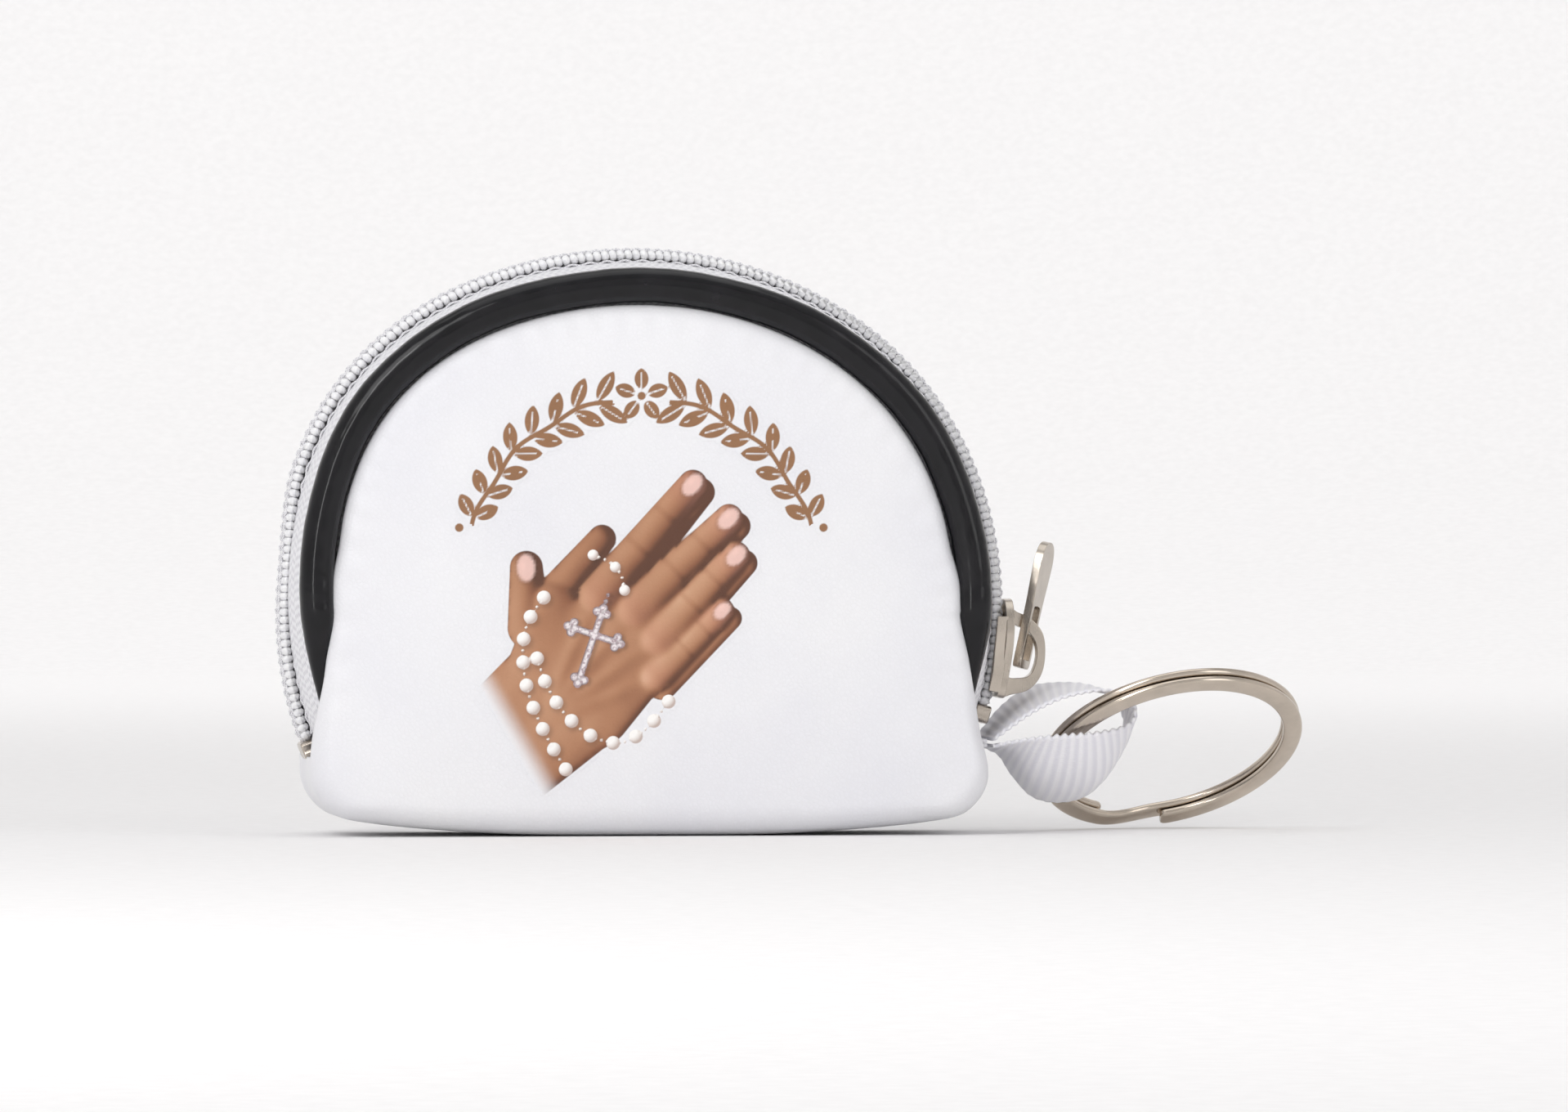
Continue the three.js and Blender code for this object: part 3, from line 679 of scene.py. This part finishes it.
def printed_sheet(skin):
    """A film of ink on the front, only where something is printed."""
    spread = np.arange(-26, 24.01, PRINT_STEP)
    rise = np.arange(3, 58.01, PRINT_STEP)
    x, z = np.meshgrid(spread, rise)
    c, s = math.cos(HANDS_TURN), math.sin(HANDS_TURN)
    # the hands are drawn on a grid of their own and read off at the turned points
    u = (x - HANDS_AT[0]) * c + (z - HANDS_AT[1]) * s
    v = -(x - HANDS_AT[0]) * s + (z - HANDS_AT[1]) * c
    own_u = np.arange(-30, 26, PRINT_STEP)
    own_v = np.arange(-24, 22, PRINT_STEP)
    drawn, edge = draw_hands(*np.meshgrid(own_u, own_v))
    at_u = np.clip((u - own_u[0]) / PRINT_STEP, 0, len(own_u) - 1.001)
    at_v = np.clip((v - own_v[0]) / PRINT_STEP, 0, len(own_v) - 1.001)
    i, j = at_v.astype(int), at_u.astype(int)
    fi, fj = at_v - i, at_u - j

    def read(table):
        extra = (...,) + (None,) * (table.ndim - 2)
        top = table[i, j] * (1 - fj)[extra] + table[i, j + 1] * fj[extra]
        low = table[i + 1, j] * (1 - fj)[extra] + table[i + 1, j + 1] * fj[extra]
        return top * (1 - fi)[extra] + low * fi[extra]

    ink, hands = read(drawn), read(edge)
    sprig = draw_sprig(x, z)
    brown = np.array(linear(150, 108, 74)[:3]) * (1 + 0.06 * waves(x, z, 4, 1))[..., None]
    ink = np.where((sprig > hands)[..., None], brown, ink)
    cover = np.maximum(hands, sprig)
    bead = np.full(x.shape, -9.0)
    bead_light = np.zeros(x.shape)
    shadow = np.zeros(x.shape)
    for bu, bv, radius in bead_centres():
        bx, bz = to_front(bu, bv)
        dx, dz = (x - bx) / radius, (z - bz) / radius
        off = np.hypot(dx, dz)
        inside = radius * (1 - off)
        lit = dx * LIGHT_FROM[0] + dz * LIGHT_FROM[1] + np.sqrt(np.clip(1 - off**2, 0, 1)) * LIGHT_FROM[2]
        bead_light = np.where(inside > bead, lit, bead_light)
        bead = np.maximum(bead, inside)
        shadow = np.maximum(shadow, np.exp(-((np.hypot(dx - 0.3, dz + 0.4) / 1.15) ** 4)))
    cross = draw_cross(u, v)
    under = draw_cross(u - 0.1, v + 0.35)
    shadow = np.maximum(shadow, smooth((under + 0.3) / 0.5))
    dim = 1 - 0.34 * shadow * smooth(hands * 2 + 0.6)
    ink = ink * dim[..., None]
    # the film lies on the swollen front
    tree = BVHTree.FromPolygons([v.co for v in skin.data.vertices], [p.vertices for p in skin.data.polygons])
    shown = np.maximum(np.maximum(cover, bead), cross) > -0.35
    wanted = shown.copy()
    for axis in (0, 1):
        for step in (-1, 1):
            wanted |= np.roll(shown, step, axis)
    number = np.full(x.shape, -1)
    points = []
    for r, k in zip(*np.nonzero(wanted)):
        hit = tree.ray_cast(Vector((x[r, k] * MM, -0.05, z[r, k] * MM)), Vector((0, 1, 0)))[0]
        number[r, k] = len(points)
        points.append((x[r, k], hit.y / MM - 0.03, z[r, k]))
    corners = np.stack([number[:-1, :-1], number[:-1, 1:], number[1:, 1:], number[1:, :-1]], axis=-1)
    faces = corners[(corners >= 0).all(axis=-1)]
    made = piece("print", points, faces, printed_look().material)
    rgba = np.concatenate([ink[wanted], np.ones((wanted.sum(), 1))], axis=1)
    store(made.data, "ink", "FLOAT_COLOR", "color", rgba)
    for label, table in (("cover", cover), ("bead", bead), ("bead_light", bead_light), ("cross", cross)):
        store(made.data, label, "FLOAT", "value", table[wanted])
    return made


film = printed_sheet(leather)
bend_front(film, sheet=True)

# ---------------- piping and bindings
PIPING_R = 39.6
PIPING_Y = 11.0
BEAD_R = 2.12


def piping(name, side):
    """A bead round the arch that thins and dives behind the panel at its two ends."""
    angles = np.linspace(-24, 204, 420)
    past = smooth((np.maximum(-angles, angles - 180) + 1) / 15)
    radius = BEAD_R * (1 - 0.5 * past) * (1 + 0.012 * np.sin(angles * 0.9) * np.sin(angles * 0.37))
    centre_r = PIPING_R + shoulders(angles) + 0.5 * past + 0.05 * np.sin(np.radians(angles * 13))
    centre_y = PIPING_Y - 1.7 * past
    turn = np.linspace(0, 2 * math.pi, 28, endpoint=False)
    rings, flow = [], []
    for a, r, cr, cy in zip(angles, radius, centre_r, centre_y):
        rings.append(arch(a, cr + r * np.cos(turn), side * (cy + r * np.sin(turn))))
        flow.append(flow_at(math.radians(a) * PIPING_R, turn * r))
    return swept(name, np.array(rings), black_vinyl.material, flow=np.array(flow))


def binding(name, side):
    """The tape folded over the raw edges of the seam inside the pouch."""
    profile = curve_through(
        [(38.2, 7.95), (35.4, 7.9), (34.9, 8.6), (34.85, 9.6), (35.1, 10.6), (36.2, 10.7), (36.2, 10.95),
         (34.9, 10.9), (34.45, 9.8), (34.5, 8.2), (35.2, 7.6), (38.2, 7.6)], 44)
    angles = np.linspace(-14, 194, 220)
    rings, flow = [], []
    for a in angles:
        ripple = 0.12 * math.sin(a * 1.3) * math.sin(a * 0.41)
        rings.append(arch(a, profile[:, 0] + ripple + shoulders(a), side * profile[:, 1]))
        flow.append(flow_at(math.radians(a) * 35, np.arange(44) * 0.2))
    return swept(name, np.array(rings), binding_tape.material, flow=np.array(flow))


def three(part):
    """The CAD nodes of a strip round the front: over the crown and down both sides."""
    return ["front_%s_%s" % (part, place) for place in ("upper", "left", "right")]


for part, shape, slot in (("piping", piping, "piping"), ("binding", binding, "binding")):
    front_strip = shape(part + "_front", -1)
    fit(front_strip, slot, None, *three(part))
    bend_front(front_strip)
    fit(shape(part + "_back", 1), slot, "body", "back_" + part)

# ---------------- zip
TAPE_ENDS = (-21.5, 203.5)
TAPE_R = 42.5
COIL_ENDS = (-14.9, 200.6)
TURN_PITCH = 0.95  # distance between the coil's turns
COIL_R = 43.5
AT_COIL = 0.78  # share of the shoulders' bulge that reaches the coil


def coil_bulge(angle):
    """How far the coil stands out of its circle. It is back on it where the slider stops."""
    return AT_COIL * shoulders(angle) * (1 - smooth((angle - 157) / 19))


def tape(name, side):
    """Half of the zip tape, from its seam beside the piping over the crown to the coil."""
    profile = curve_through(
        [(35.4, 8.5), (38, 8.5), (40.2, 8.75), (41.1, 8.4), (41.8, 6.6), (42.3, 4.2), (42.45, 2.2),
         (TAPE_R, 0.5)], 30)
    angles = np.linspace(*TAPE_ENDS, 300)
    run = run_along(profile)
    rings, flow = [], []
    for a in angles:
        loose = smooth((run - 4) / 3) * smooth((14 - run) / 5)
        ripple = 0.1 * loose * waves(math.radians(a) * 42, run, 7, 5 + side)
        eased = shoulders(a) * (1 - 0.22 * smooth((9 - profile[:, 1]) / 6))
        rings.append(arch(a, profile[:, 0] + ripple + eased, side * profile[:, 1]))
        flow.append(flow_at(math.radians(a) * TAPE_R, run))
    made = piece(name, np.array(rings), grid(300, 30), zip_tape.material, np.array(flow).reshape(-1, 3))
    thicken(made, 0.4, 0.0)
    return made


def tube(name, path, radius, look, sides=7):
    """A round strand along a path of points, with its frame carried along it."""
    path = np.asarray(path, float)
    way = unit(np.gradient(path, axis=0))
    first = unit(np.cross(way, np.array([0.31, 0.87, 0.39])))
    second = np.cross(way, first)
    turn = np.linspace(0, 2 * math.pi, sides, endpoint=False)
    radius = np.broadcast_to(radius, len(path))
    rings = path[:, None] + radius[:, None, None] * (
        first[:, None] * np.cos(turn)[None, :, None] + second[:, None] * np.sin(turn)[None, :, None])
    flow = np.zeros_like(rings)
    flow[:, :, 0] = run_along(path)[:, None]
    flow[:, :, 1] = (turn * np.mean(radius))[None]
    return swept(name, rings, look, flow=flow)


def coil(name, side):
    """A flattened spiral of monofilament whose heads reach between the other half's."""
    pitch = math.degrees(TURN_PITCH / COIL_R)
    turns = int((COIL_ENDS[1] - COIL_ENDS[0]) / pitch)
    t = np.arange(turns * 14) / 14
    spin = 2 * math.pi * t
    start = COIL_ENDS[0] + (0.5 * pitch if side > 0 else 0)
    lean = 0.22 * pitch * np.sin(spin)
    width = side * (1.08 - 1.34 * np.cos(spin) + 0.10 * np.cos(2 * spin))
    angles = start + t * pitch + lean
    path = arch(angles, COIL_R + coil_bulge(angles) + 0.26 * np.sin(spin), width)
    return tube(name, path, 0.5, nylon.material, sides=8)


def filler(name, side):
    """The white cord that the coil is wound round."""
    angles = np.linspace(*COIL_ENDS, 400)
    path = arch(angles, COIL_R + coil_bulge(angles) + 0.05, side * 1.15)
    return tube(name, path, 0.62, thread.material, sides=12)


def stitch_row(name, side, depth, radius, step=1.25):
    """Thread that dips into the tape between stitches."""
    angles = np.arange(COIL_ENDS[0] + 0.4, COIL_ENDS[1] - 0.4, 0.32)
    wave = np.cos(np.radians(angles) * COIL_R / step * 2 * math.pi)
    weave = 0.1 * np.sin(np.radians(angles) * 44 / step * math.pi)
    path = arch(angles, radius + coil_bulge(angles) + 0.12 * wave, side * (depth + weave))
    return tube(name, path, 0.15, thread.material, sides=6)


for half, side in (("front", -1), ("back", 1)):
    cloth = tape("zip_tape_" + half, side)
    spiral = coil("zip_coil_" + half, side)
    cord = filler("coil_cord_" + half, side)
    inner_row = stitch_row("coil_stitches_" + half, side, 1.75, 44.2)
    outer_row = stitch_row("tape_stitches_" + half, side, 2.75, 42.75, 2.2)
    for made, slot, part in (
        (cloth, "zip_tape", "tape"), (spiral, "zip_coil", "coil"), (cord, "zip_coil", None),
        (inner_row, "zip_tape", None), (outer_row, "zip_tape", None),
    ):
        if half == "front":
            fit(made, slot, None, *(three(part) if part else ()))
            bend_front(made)
        else:
            fit(made, slot, "body", *(["back_" + part] if part else ()))

# ---------------- metal of the zip
SLIDER_AT = -5.5
SLIDER_R = 45.75  # outer face of the slider's outer plate
TAB_OUT, TAB_ALONG = 1.75, -1.7  # where the tab hangs on the bridge
STOP_R = 43.0


def on_slider(along, depth, out):
    """Points given along the zip, across it and out of the slider's outer face."""
    along, depth, out = np.broadcast_arrays(along, depth, out)
    return arch(SLIDER_AT + np.degrees(along / SLIDER_R), SLIDER_R + out, depth)


def in_slider_frame(along, depth, out):
    """The same on the straight axes of the slider's middle, for the bridge and the tab."""
    along, depth, out = np.broadcast_arrays(along, depth, out)
    a = math.radians(SLIDER_AT)
    x = (SLIDER_R + out) * math.cos(a) - along * math.sin(a)
    z = ARCH_Z + (SLIDER_R + out) * math.sin(a) + along * math.cos(a)
    return np.stack([x, depth, z], axis=-1)


def slab(outline, low, high, place, hole=None):
    """Points and faces of a plate with that (along, across) outline, or a ring of two outlines."""
    outline = np.asarray(outline, float)
    count = len(outline)
    if hole is None:
        rings = [place(outline[:, 0], outline[:, 1], h) for h in (low, high)]
        faces = grid(2, count, wrap_columns=True)
        return np.vstack(rings), faces + [tuple(range(count)), tuple(range(count, 2 * count))]
    hole = np.asarray(hole, float)
    levels = ((outline, low), (outline, high), (hole, high), (hole, low))
    rings = [place(o[:, 0], o[:, 1], h) for o, h in levels]
    return np.vstack(rings), grid(4, count, wrap_rows=True, wrap_columns=True)


def mirrored(half):
    """An outline from its half with across at 0 or more. Its first and last points are on the axis."""
    return half + [(along, -across) for along, across in reversed(half[1:-1])]


def closed_curve(points, count):
    """A smooth closed outline through points."""
    points = np.asarray(points, float)
    wrapped = np.vstack([points[-2:], points, points[:3]])
    dense = curve_through(wrapped, 40 * len(wrapped))
    start = np.argmin(np.linalg.norm(dense[: 40 * 5] - points[0], axis=1))
    stop = len(dense) // 2 + np.argmin(np.linalg.norm(dense[len(dense) // 2 :] - points[0], axis=1))
    return spaced(dense[start:stop], count, endpoint=False)


def joined(name, parts, look):
    """One object from several closed bodies."""
    points, faces, offset = [], [], 0
    for part_points, part_faces in parts:
        points.append(part_points)
        faces += [tuple(i + offset for i in f) for f in part_faces]
        offset += len(part_points)
    return piece(name, np.vstack(points), faces, look)


def shield(scale, tail):
    """The outline of a slider plate: wide shoulders, rounded nose, narrower tail."""
    right = [(6.1, 1.6), (5.4, 3.0), (3.4, 4.2), (0.5, 4.2), (-3.0, tail), (-5.6, tail), (-6.1, tail - 0.8)]
    points = [(a, scale * w) for a, w in right] + [(a, -scale * w) for a, w in reversed(right)]
    return closed_curve(points, 64)


def slider():
    top = slab(shield(1.0, 3.6), -1.0, 0.0, on_slider)
    under = slab(shield(0.93, 3.5), -5.2, -4.2, on_slider)
    parts = [top, under]
    for side in (-1, 1):
        lip = [(4.0, 3.55), (4.0, 4.15), (-3.0, 3.75), (-5.6, 3.6), (-5.6, 3.0), (-3.0, 3.15)]
        for low, high in ((-2.1, -0.7), (-4.6, -3.4)):
            parts.append(slab([(a, side * w) for a, w in lip], low, high, on_slider))
    post = closed_curve([(5.6, 0), (4.6, 0.28), (2.9, 0), (4.6, -0.28)], 20)
    parts.append(slab(post, -4.4, -0.8, on_slider))
    outer = closed_curve(
        [(-5.5, -0.5), (-5.5, 0.9), (-4.7, 2.9), (-2.8, 4.2), (-0.2, 4.45), (2.3, 3.9), (3.9, 2.3),
         (4.5, 0.7), (4.5, -0.5), (-0.5, -0.6)], 72)
    inner = closed_curve(
        [(-3.25, 0.0), (-3.45, 1.5), (-3.05, 2.7), (-1.9, 3.3), (-0.2, 3.45), (1.3, 3.0), (2.4, 2.0),
         (2.8, 0.9), (2.8, 0.0), (-0.5, -0.05)], 72)

    def place(along, out, depth):
        return in_slider_frame(along, depth, out)

    parts.append(slab(outer, -1.1, 1.1, place, hole=inner))
    return joined("slider", parts, nickel.material)


def pull_tab():
    """A flat tab with a long eye. It stands out a little from the zip."""
    lean, turn = math.radians(6.9), math.radians(22)

    def place(length, width, thickness):
        length, width, thickness = np.broadcast_arrays(length, width, thickness)
        sideways = width * math.cos(turn) - thickness * math.sin(turn)
        outwards = width * math.sin(turn) + thickness * math.cos(turn)
        out = TAB_OUT + length * math.sin(lean) + outwards * math.cos(lean)
        along = TAB_ALONG + length * math.cos(lean) - outwards * math.sin(lean)
        return in_slider_frame(along, sideways, out)

    rim = [(-0.5, 0), (-0.5, 1.7), (0.1, 2.35), (3.5, 2.4), (7.4, 2.45), (10.5, 2.8), (13, 2.9),
           (14.7, 2.0), (15.3, 0)]
    eye = [(0.55, 0), (0.55, 1.35), (0.9, 1.65), (3.5, 1.65), (6.6, 1.65), (7.15, 1.35), (7.25, 0.6),
           (7.3, 0)]
    outer, inner = (closed_curve(mirrored(half), 96) for half in (rim, eye))
    return joined("pull_tab_plate", [slab(outer, -0.5, 0.5, place, hole=inner)], nickel.material)


def stop(name, angle, low, high):
    """A metal stop clamped across the coil."""
    across = [(-0.95, low), (0, low - 0.15), (0.95, low), (0.95, high), (0, high + 0.15), (-0.95, high)]
    outline = closed_curve(across, 24)

    def place(along, depth, out):
        return arch(angle + np.degrees(along / STOP_R), STOP_R + out, depth)

    made = joined(name, [slab(outline, -0.2, 1.65, place)], nickel.material)
    round_edges(made, 0.25)
    return made


body_slider = slider()
round_edges(body_slider, 0.22)
fit(body_slider, "nickel", "slider", "slider_body")
tab = pull_tab()
round_edges(tab, 0.3)
fit(tab, "nickel", "pull_tab", "pull_tab")
fit(stop("stop_top_front", -16.3, -2.6, -0.65), "nickel", "body", "top_stop_front")
fit(stop("stop_top_back", -16.3, 0.65, 2.6), "nickel", "body", "top_stop_back")
fit(stop("stop_bottom", 202.0, -2.6, 2.6), "nickel", "body", "bottom_stop")

# ---------------- key ring
RING_R = 15.3
HOLD = np.array([51.3, -0.6, 10.05])  # where the wire passes through the ribbon loop
ring_across = unit(np.array([0.963, -0.118, 0.243]))
ring_up = np.array([-0.234, -0.816, 0.5])
ring_up = unit(ring_up - ring_across * ring_up.dot(ring_across))
ring_axis = np.cross(ring_across, ring_up)
hold_angle = math.radians(155)
ring_centre = HOLD - RING_R * (ring_across * math.cos(hold_angle) + ring_up * math.sin(hold_angle))


def key_ring():
    """Two turns of flat-sided wire that change level once, between the two cut ends."""
    start, shift = math.radians(259), math.radians(32)
    turn = 2 * math.pi - shift
    corner = np.linspace(0, math.pi / 2, 5)
    half_width, half_height, soft = 1.2, 0.51, 0.47
    outline = []
    for cx, cy, first in ((1, 1, 0), (-1, 1, 1), (-1, -1, 2), (1, -1, 3)):
        angles = corner + first * math.pi / 2
        centre = (cx * (half_width - soft), cy * (half_height - soft))
        outline.append(centre + soft * np.stack([np.cos(angles), np.sin(angles)], axis=1))
    outline = np.vstack(outline)
    along = np.linspace(0, 2 * turn + shift, 560)
    level = 0.59 * (1 - 2 * smooth((along - turn) / shift))
    squeeze = 1 - 0.22 * smooth((0.03 - np.minimum(along, along[-1] - along)) / 0.03)
    rings = []
    for a, lift, tip in zip(along + start, level, squeeze):
        radius = RING_R + outline[:, 0] * tip
        height = lift + outline[:, 1] * tip
        x, y = radius * math.cos(a), radius * math.sin(a)
        flat = x[:, None] * ring_across + y[:, None] * ring_up
        rings.append(ring_centre + flat + height[:, None] * ring_axis)
    return swept("split_ring", np.array(rings), ring_steel.material)


fit(key_ring(), "ring_steel", "key_ring", "key_ring")

# ---------------- ribbon loop
# The near edge closes round the wire and the far edge splays open. Each edge runs out along
# the lower layer and back along the upper one.
RIBBON_WIDTH = 14.0
RIB = 1.15  # distance between the grosgrain's ribs
NEAR_EDGE = [
    (42.6, -7, 10.6), (46, -6.9, 11.3), (50.5, -6.6, 11.85), (55.5, -6.2, 12.2), (59.3, -5.9, 13),
    (60.4, -5.9, 14.6), (59.4, -6, 16.6), (56.2, -6.2, 17.4), (51.5, -6.5, 16.6), (47.2, -6.8, 14.6),
    (42.6, -7, 11.4),
]
FAR_EDGE = [
    (42.6, 7, 10.6), (45.2, 6.4, 9.4), (46.9, 5.6, 6.8), (49.4, 4.8, 4.2), (53, 4.6, 3.6), (56.5, 4.9, 4.8),
    (59.4, 5.7, 8.4), (61, 6.6, 12), (60.2, 7.1, 15.8), (57, 7.2, 17.6), (53, 7.3, 18), (49, 7.3, 17.4),
    (45.6, 7.2, 15), (42.6, 7, 11.4),
]
BELLY = 1.8  # how far the lower layer sags between its edges


def ribbon():
    """A ribbed strip between the two edges, with a fine scallop where each rib ends."""
    steps, columns = 420, 29
    near, far = curve_through(NEAR_EDGE, steps), curve_through(FAR_EDGE, steps)
    length = (run_along(near)[-1] + run_along(far)[-1]) / 2
    run = np.linspace(0, length, steps)
    across = np.linspace(0, 1, columns)
    middle = (near + far) / 2
    out = unit(np.cross(np.gradient(middle, axis=0), far - near))
    wave = np.cos(run * 2 * math.pi / RIB)
    at_edges = smooth((across - 0.93) / 0.07) - smooth((0.07 - across) / 0.07)
    share = across[None] + 0.012 * wave[:, None] * at_edges
    rows = near[:, None] + (far - near)[:, None] * share[:, :, None]
    along = run / length
    sag = -BELLY * smooth((along - 0.02) / 0.18) * (1 - smooth((along - 0.3) / 0.2))
    lift = 0.07 * wave[:, None] + sag[:, None] * np.sin(math.pi * across)[None]
    rows = rows + out[:, None] * lift[:, :, None]
    flow = np.zeros_like(rows)
    flow[:, :, 0] = run[:, None]
    flow[:, :, 1] = across[None] * RIBBON_WIDTH
    made = piece("ribbon", rows, grid(steps, columns), grosgrain.material, flow.reshape(-1, 3))
    thicken(made, 0.4, 0.0)
    return made


fit(ribbon(), "ribbon", "ribbon", "ribbon_loop")


def ribbon_ends():
    """The ribbon's two ends, one on the other, going into the corner seam."""
    parts = []
    rows, columns = 16, 20
    layer = rows * columns  # points in the lower face, before the upper face's
    along = np.linspace(37.8, 41.9, rows)
    across = np.linspace(-RIBBON_WIDTH / 2, RIBBON_WIDTH / 2, columns)
    for level in (10.72, 11.28):
        points = [(a, v, h) for h in (level - 0.22, level + 0.22) for a in along for v in across]
        faces = grid(rows, columns)
        faces += [tuple(i + layer for i in f) for f in faces]
        rim = list(range(columns)) + [i * columns + columns - 1 for i in range(1, rows)]
        rim += [layer - columns + j for j in range(columns - 2, -1, -1)]
        rim += [i * columns for i in range(rows - 2, 0, -1)]
        faces += [(a, b, b + layer, a + layer) for a, b in zip(rim, rim[1:] + rim[:1])]
        parts.append((np.array(points), faces))
    return joined("ribbon_ends", parts, grosgrain.material)


fit(ribbon_ends(), "ribbon", "body", "ribbon_root")

# ---------------- studio


def studio():
    """A round seamless backdrop, flat under the object and rising all round beyond the camera."""
    rise = [(1.3, 0.0), (1.5, 0.0), (1.85, 0.08), (2.1, 0.35), (2.2, 0.8), (2.2, 2.2)]
    profile = np.vstack([[(0.001, 0.0), (0.6, 0.0)], curve_through(rise, 30)])
    turns = np.radians(np.arange(0, 360, 3.75))
    points = [(r * math.cos(a), r * math.sin(a), z - 0.0001) for a in turns for r, z in profile]
    mesh = bpy.data.meshes.new("backdrop")
    mesh.from_pydata(points, [], grid(len(turns), len(profile), wrap_rows=True))
    mesh.shade_smooth()
    paper = Look("paper", linear(246, 245, 245), 0.9)
    speck = paper.noise(paper.node("TexCoord").outputs["Object"], 400.0, 2.0)
    paper.color(paper.mix(paper.ramp(speck, 0.3, 0.7), linear(247, 246, 246), linear(243, 242, 242)))
    mesh.materials.append(paper.material)
    made = bpy.data.objects.new("backdrop", mesh)
    bpy.context.collection.objects.link(made)


def lamp(name, place, target, size, power):
    data = bpy.data.lights.new(name, "AREA")
    data.shape = "RECTANGLE"
    data.size, data.size_y = size
    data.energy = power
    made = bpy.data.objects.new(name, data)
    made.location = place
    aim(made, target)
    bpy.context.collection.objects.link(made)


def aim(made, target):
    made.rotation_euler = (Vector(target) - Vector(made.location)).to_track_quat("-Z", "Y").to_euler()


studio()
middle = (0.018, -0.004, 0.034)
lamp("key", (-0.45, -0.55, 0.6), middle, (0.45, 0.45), 1.85)
lamp("strip", (-0.3, -0.5, 0.22), middle, (0.03, 0.5), 0.5)
lamp("fill", (0.6, -0.6, 0.35), middle, (0.3, 0.6), 0.8)
lamp("top", (0.0, 0.05, 0.9), middle, (0.8, 0.6), 1.1)
for number, (azimuth, power) in enumerate(((90, 8.6), (0, 2.6), (180, 2.6), (270, 2.6))):
    away = np.array([math.cos(math.radians(azimuth)), math.sin(math.radians(azimuth)), 0])
    lamp("wall_%d" % number, 0.9 * away + (0, 0, 1.2), 2.2 * away + (0, 0, 0.3), (1.6, 0.6), power)
bpy.context.scene.view_settings.view_transform = "Standard"
world = bpy.data.worlds.new("world")
world.use_nodes = True
sky = world.node_tree.nodes["Background"].inputs
sky["Color"].default_value = (1, 1, 1, 1)
sky["Strength"].default_value = 0.56
bpy.context.scene.world = world

AZIMUTH, ELEVATION, DISTANCE = math.radians(-7), math.radians(0.2), 1.3
lens = bpy.data.cameras.new("camera")
lens.lens = 36 * DISTANCE / 0.1918
lens.sensor_width = 36
lens.clip_end = 10
camera = bpy.data.objects.new("camera", lens)
target = (0.0178, 0.0, 0.0338)
camera.location = (
    target[0] + DISTANCE * math.sin(AZIMUTH) * math.cos(ELEVATION),
    target[1] - DISTANCE * math.cos(AZIMUTH) * math.cos(ELEVATION),
    target[2] + DISTANCE * math.sin(ELEVATION),
)
aim(camera, target)
bpy.context.collection.objects.link(camera)
bpy.context.scene.camera = camera
